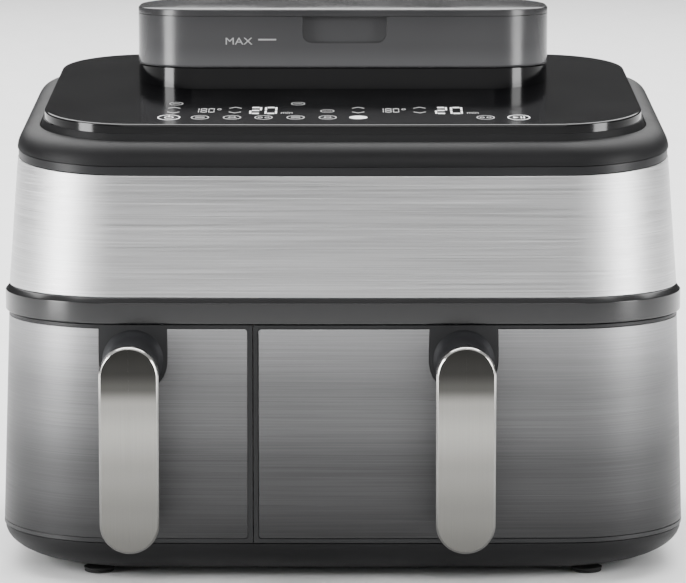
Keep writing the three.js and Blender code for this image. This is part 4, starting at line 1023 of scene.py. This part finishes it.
ROW = PLATE_FRONT + 26 * MM
KEYS = {-112.5: "power", -92.4: "waves", -71.7: "dish", -51.3: "drops", -30.6: "waves", -9.9: "dish",
        92.1: "drops", 113.6: "start"}
for x, kind in KEYS.items():
    prints["bright" if kind in ("power", "start") else "dim"] += key_symbol(x * MM, ROW, kind)
bpy.ops.mesh.primitive_circle_add(vertices=40, radius=5.9 * MM, fill_type="NGON", location=(9.9 * MM, ROW, 0))
chosen = start("print")
bpy.ops.object.mode_set(mode="OBJECT")
prints["bright"].append(chosen)
for x in (-110.5, -70.4, 9.9, 50):
    prints["dim"].append(chevron_print(x * MM, ROW + 32 * MM, 8 * MM, 4 * MM, 1.8 * MM))
    prints["dim"].append(chevron_print(x * MM, ROW + 19 * MM, 8 * MM, -4 * MM, 1.8 * MM))
for x in (-90.8, 29.6):
    prints["dim"] += number_print(x * MM, ROW + 25 * MM, 15 * MM, 15 * MM, "180")
    prints["dim"].append(ring_print((x + 10) * MM, ROW + 29 * MM, 1.4 * MM, 0.6 * MM, 2))
for x in (-52, 69):
    prints["bright"] += number_print(x * MM, ROW + 25 * MM, 20 * MM, 25 * MM, "20")
    prints["dim"].append(text_print((x + 15.4) * MM, ROW + 17 * MM, 7.5 * MM, 7 * MM, "min"))
for x, y in ((-109.9, 50), (-29.6, 50), (-10.2, 23)):
    prints["dim"].append(ring_print(x * MM, ROW + y * MM, 4.6 * MM, 0.7 * MM))
    prints["dim"].append(bar_print(x * MM, ROW + y * MM, 5 * MM, 1.2 * MM))


def join_prints(name, parts):
    """Joins flat prints and lays them on the sloping plate."""
    only(parts[0])
    for part in parts:
        part.select_set(True)
    bpy.ops.object.join()
    made = bpy.context.object
    made.name = made.data.name = name
    for v in made.data.vertices:
        v.co.z = PLATE_TOP + PRINT_LIFT + SLOPE * (v.co.y - SLOPE_Y)
    return made


for level, material in (("bright", bright_print), ("dim", dim_print)):
    made = join_prints(f"{level}_symbols", prints[level])
    finished(made, "body", "gloss_black", material)

# %% [markdown]
# ## Water tank
# The dock is a low glossy pedestal whose foot follows the slope of the plate. The tank is
# a smoky box with big round ends, a finger scoop in the front and a domed lid hinged at the back.

# %% Dock
TANK_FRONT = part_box("tank_lid")[0].y
TANK_BACK = TANK_FRONT + 115 * MM
TANK_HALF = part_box("tank_lid")[1].x
TANK_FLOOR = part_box("water_tank")[0].z
TANK_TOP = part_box("water_tank")[0].z + 34.7 * MM
TANK_CORNER = 45 * MM


def tank_plan(inset):
    """The tank's outline drawn in by an inset."""
    low = (inset - TANK_HALF, TANK_FRONT + inset)
    high = (TANK_HALF - inset, TANK_BACK - inset)
    return low, high, TANK_CORNER - inset


dock_rings = [(tank_plan(0), height) for height in (0, 3 * MM, 10 * MM)]
dock = loft("dock", dock_rings, cuts=0, caps=(True, True))
dock_top = TANK_FLOOR - 0.3 * MM
seat = PLATE_TOP + 0.1 * MM
for v in dock.data.vertices:
    foot = seat + SLOPE * (v.co.y - SLOPE_Y)
    v.co.z = dock_top if v.co.z > 9 * MM else min(foot + v.co.z, dock_top - 0.2 * MM)
finished(dock, "body", "gloss_black", gloss_black, "tank_dock")

# %% [markdown]
# The tank is lofted as a closed box, so that the scoop can be cut out of a solid. Its top is taken off after
# that, and the wall is given last, which makes the scoop a dent inside too.

# %% Tank
SCOOP = {"x": 1 * MM, "half": 28.5 * MM, "height": 18 * MM, "depth": 5 * MM}
TANK_RINGS = [(tank_plan(2.0 * MM), TANK_FLOOR), (tank_plan(0.9 * MM), TANK_FLOOR + 0.3 * MM),
              (tank_plan(0.3 * MM), TANK_FLOOR + 0.9 * MM), (tank_plan(0), TANK_FLOOR + 2 * MM),
              (tank_plan(0), TANK_TOP)]
tank = loft("tank", TANK_RINGS, steps=24, cuts=0, caps=(True, True))
scoop = slab_along_y("scoop", (SCOOP["x"] - SCOOP["half"], TANK_TOP - SCOOP["height"]),
                     (SCOOP["x"] + SCOOP["half"], TANK_TOP + 0.03),
                     (TANK_FRONT - 0.01, TANK_FRONT + SCOOP["depth"]), 7 * MM)
combine(tank, scoop, "DIFFERENCE")
only(tank)
bpy.ops.object.mode_set(mode="EDIT")
pick(tank, "FACE", lambda f: f.normal.z > 0.9 and middle(f).z > TANK_TOP - 1e-5)
bpy.ops.mesh.delete(type="FACE")
bpy.ops.object.mode_set(mode="OBJECT")
wall(tank, 2 * MM)
soften(tank, 0.7 * MM, 3, 50)
finished(tank, "tank", "smoked_clear", smoke, "water_tank")

# %% [markdown]
# The mark is flat lettering and a line, stood up just in front of the tank's wall.

# %% Fill mark
MARK_Z = TANK_TOP - 16.5 * MM


def upright_print(made, lift=0.15 * MM):
    """Stands a flat print up against the front of the tank."""
    for v in made.data.vertices:
        v.co = (v.co.x, TANK_FRONT - lift, v.co.y)
    return made


words = text_print(-70 * MM, MARK_Z, 18 * MM, 4.6 * MM, "MAX")
line = bar_print(-51 * MM, MARK_Z + 1 * MM, 12 * MM, 1.0 * MM)
only(words)
line.select_set(True)
bpy.ops.object.join()
mark = upright_print(bpy.context.object)
mark.name = mark.data.name = "fill_mark"
# The mark uses the dim print, so it carries the same painted glow.
finished(mark, "tank", "smoked_clear", dim_print)

# %% [markdown]
# The lid rises in small steps from a square rim to a shallow dome, and is hollow underneath.

# %% Lid
LID_Z = TANK_TOP + 0.3 * MM
LID_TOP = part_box("tank_lid")[1].z
LID_RIM = LID_Z + 4.5 * MM
LID_RINGS = [(tank_plan(0), LID_Z), (tank_plan(0), LID_RIM - 1 * MM),
             (tank_plan(0.3 * MM), LID_RIM - 0.4 * MM), (tank_plan(1.0 * MM), LID_RIM),
             (tank_plan(3 * MM), LID_RIM + 0.5 * MM),
             (tank_plan(8 * MM), LID_RIM + 1.3 * MM), (tank_plan(16 * MM), LID_RIM + 2.0 * MM),
             (tank_plan(26 * MM), LID_TOP)]
lid = loft("lid", LID_RINGS, steps=24, cuts=0, caps=(False, True))
wall(lid, 2.2 * MM)
finished(lid, "lid", "smoked_clear", smoke, "tank_lid")

# %% [markdown]
# ## Baskets
# The baskets are drawn pans with a rolled rim and sloping sides, coated inside and out.

# %% Basket pans
PAN_CORNER = 24 * MM
# Inset and rise from the floor, then inset and drop from the top, in millimetres.
PAN_BOTTOM = [(11, 0), (7.4, 1), (5.2, 3), (4.2, 6)]
PAN_RIM = [(1.2, 5), (1.0, 2), (0.2, 1.2), (0, 0.4), (0.5, 0), (1.2, 0.2)]
for name in SIDES:
    low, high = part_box(f"{name}_basket_pan")

    def pan_plan(inset):
        return (low.x + inset, low.y + inset), (high.x - inset, high.y - inset), PAN_CORNER - inset * 0.5

    height = high.z - low.z
    rings = [(pan_plan(inset * MM), low.z + rise * MM) for inset, rise in PAN_BOTTOM]
    rings += [(pan_plan(inset * MM), high.z - drop * MM) for inset, drop in PAN_RIM]
    pan = loft(f"{name}_pan", rings, steps=14, cuts=0, caps=(True, False))
    wall(pan, 1.2 * MM)
    finished(pan, f"{name}_drawer", "coating", coating, f"{name}_basket_pan")

# %% [markdown]
# ## The pieces that keep their CAD shape
# Everything inside is right as it is. Each one only gets its finish.

# %% Finishes for carried-over nodes
FINISH_OF_SLOT = {
    "brushed_steel": upper_steel, "handle_metal": champagne, "gunmetal": gunmetal,
    "dark_plastic": matte_black, "frame_plastic": satin_grey, "trim_plastic": trim_grey,
    "gloss_black": gloss_black, "smoked_clear": smoke, "coating": coating, "sheet_metal": sheet_metal,
    "rubber": rubber, "circuit_board": board_green, "insulation": fibre, "silicone": silicone,
}
slot_of_node = {row["node"]: row["material_slot"] for row in frame["record"]["subparts"]}
for name, obj in frame["nodes"].items():
    if obj.type == "MESH" and not obj.hide_render:
        obj.data.materials.clear()
        obj.data.materials.append(FINISH_OF_SLOT[slot_of_node[name]])
print("carried over:", sum(not obj.hide_render for obj in frame["nodes"].values()))

# %% [markdown]
# ## Studio
# A pale floor, a pale surround that is darker near the horizon, and soft boxes at both sides, above, behind
# and in front. The side boxes give the bright bars on the steel corners.

# %% Floor
bpy.ops.object.select_all(action="DESELECT")
bpy.ops.mesh.primitive_plane_add(size=14, location=(0, 0, 0))
floor = bpy.context.object
floor.name = floor.data.name = "floor"
floor_material = grained("pale_floor", (0.9, 0.9, 0.9), 0.6, 300, 0.01, vary=0.01)
floor.data.materials.append(floor_material)

# %% [markdown]
# Four soft boxes stand round the object, and one large one lights the floor behind it.

# %% Lights
def soft_box(name, place, target, size, power):
    lamp = bpy.data.lights.new(name, "AREA")
    lamp.shape = "RECTANGLE"
    lamp.size, lamp.size_y = size
    lamp.energy = power
    made = bpy.data.objects.new(name, lamp)
    bpy.context.collection.objects.link(made)
    made.location = place
    made.rotation_euler = (Vector(target) - Vector(place)).to_track_quat("-Z", "Y").to_euler()
    return made


soft_box("left_box", (-1.5, -0.7, 0.5), (0, 0, 0.15), (0.5, 1.2), 34)
soft_box("right_box", (1.5, -0.7, 0.55), (0, 0, 0.2), (0.5, 1.0), 22)
soft_box("top_box", (0, 0.6, 2.4), (0, 0.3, 0), (3.0, 2.0), 90)
soft_box("back_box", (0, 3.6, 3.0), (0, 3.6, 0), (7.0, 5.0), 520)
soft_box("front_box", (0, -2.8, 1.7), (0, -0.6, 0), (2.4, 0.8), 40)

world = bpy.data.worlds.new("surround")
world.use_nodes = True
bpy.context.scene.world = world
sky = world.node_tree
direction = node(sky, "ShaderNodeTexCoord")
parts = node(sky, "ShaderNodeSeparateXYZ")
sky.links.new(direction.outputs["Generated"], parts.inputs["Vector"])
brightness = spread(sky, parts.outputs["Z"], 0.08, 0.6, 0.3, 0.9)
sky.links.new(brightness, sky.nodes["Background"].inputs["Color"])
sky.nodes["Background"].inputs["Strength"].default_value = 1.0
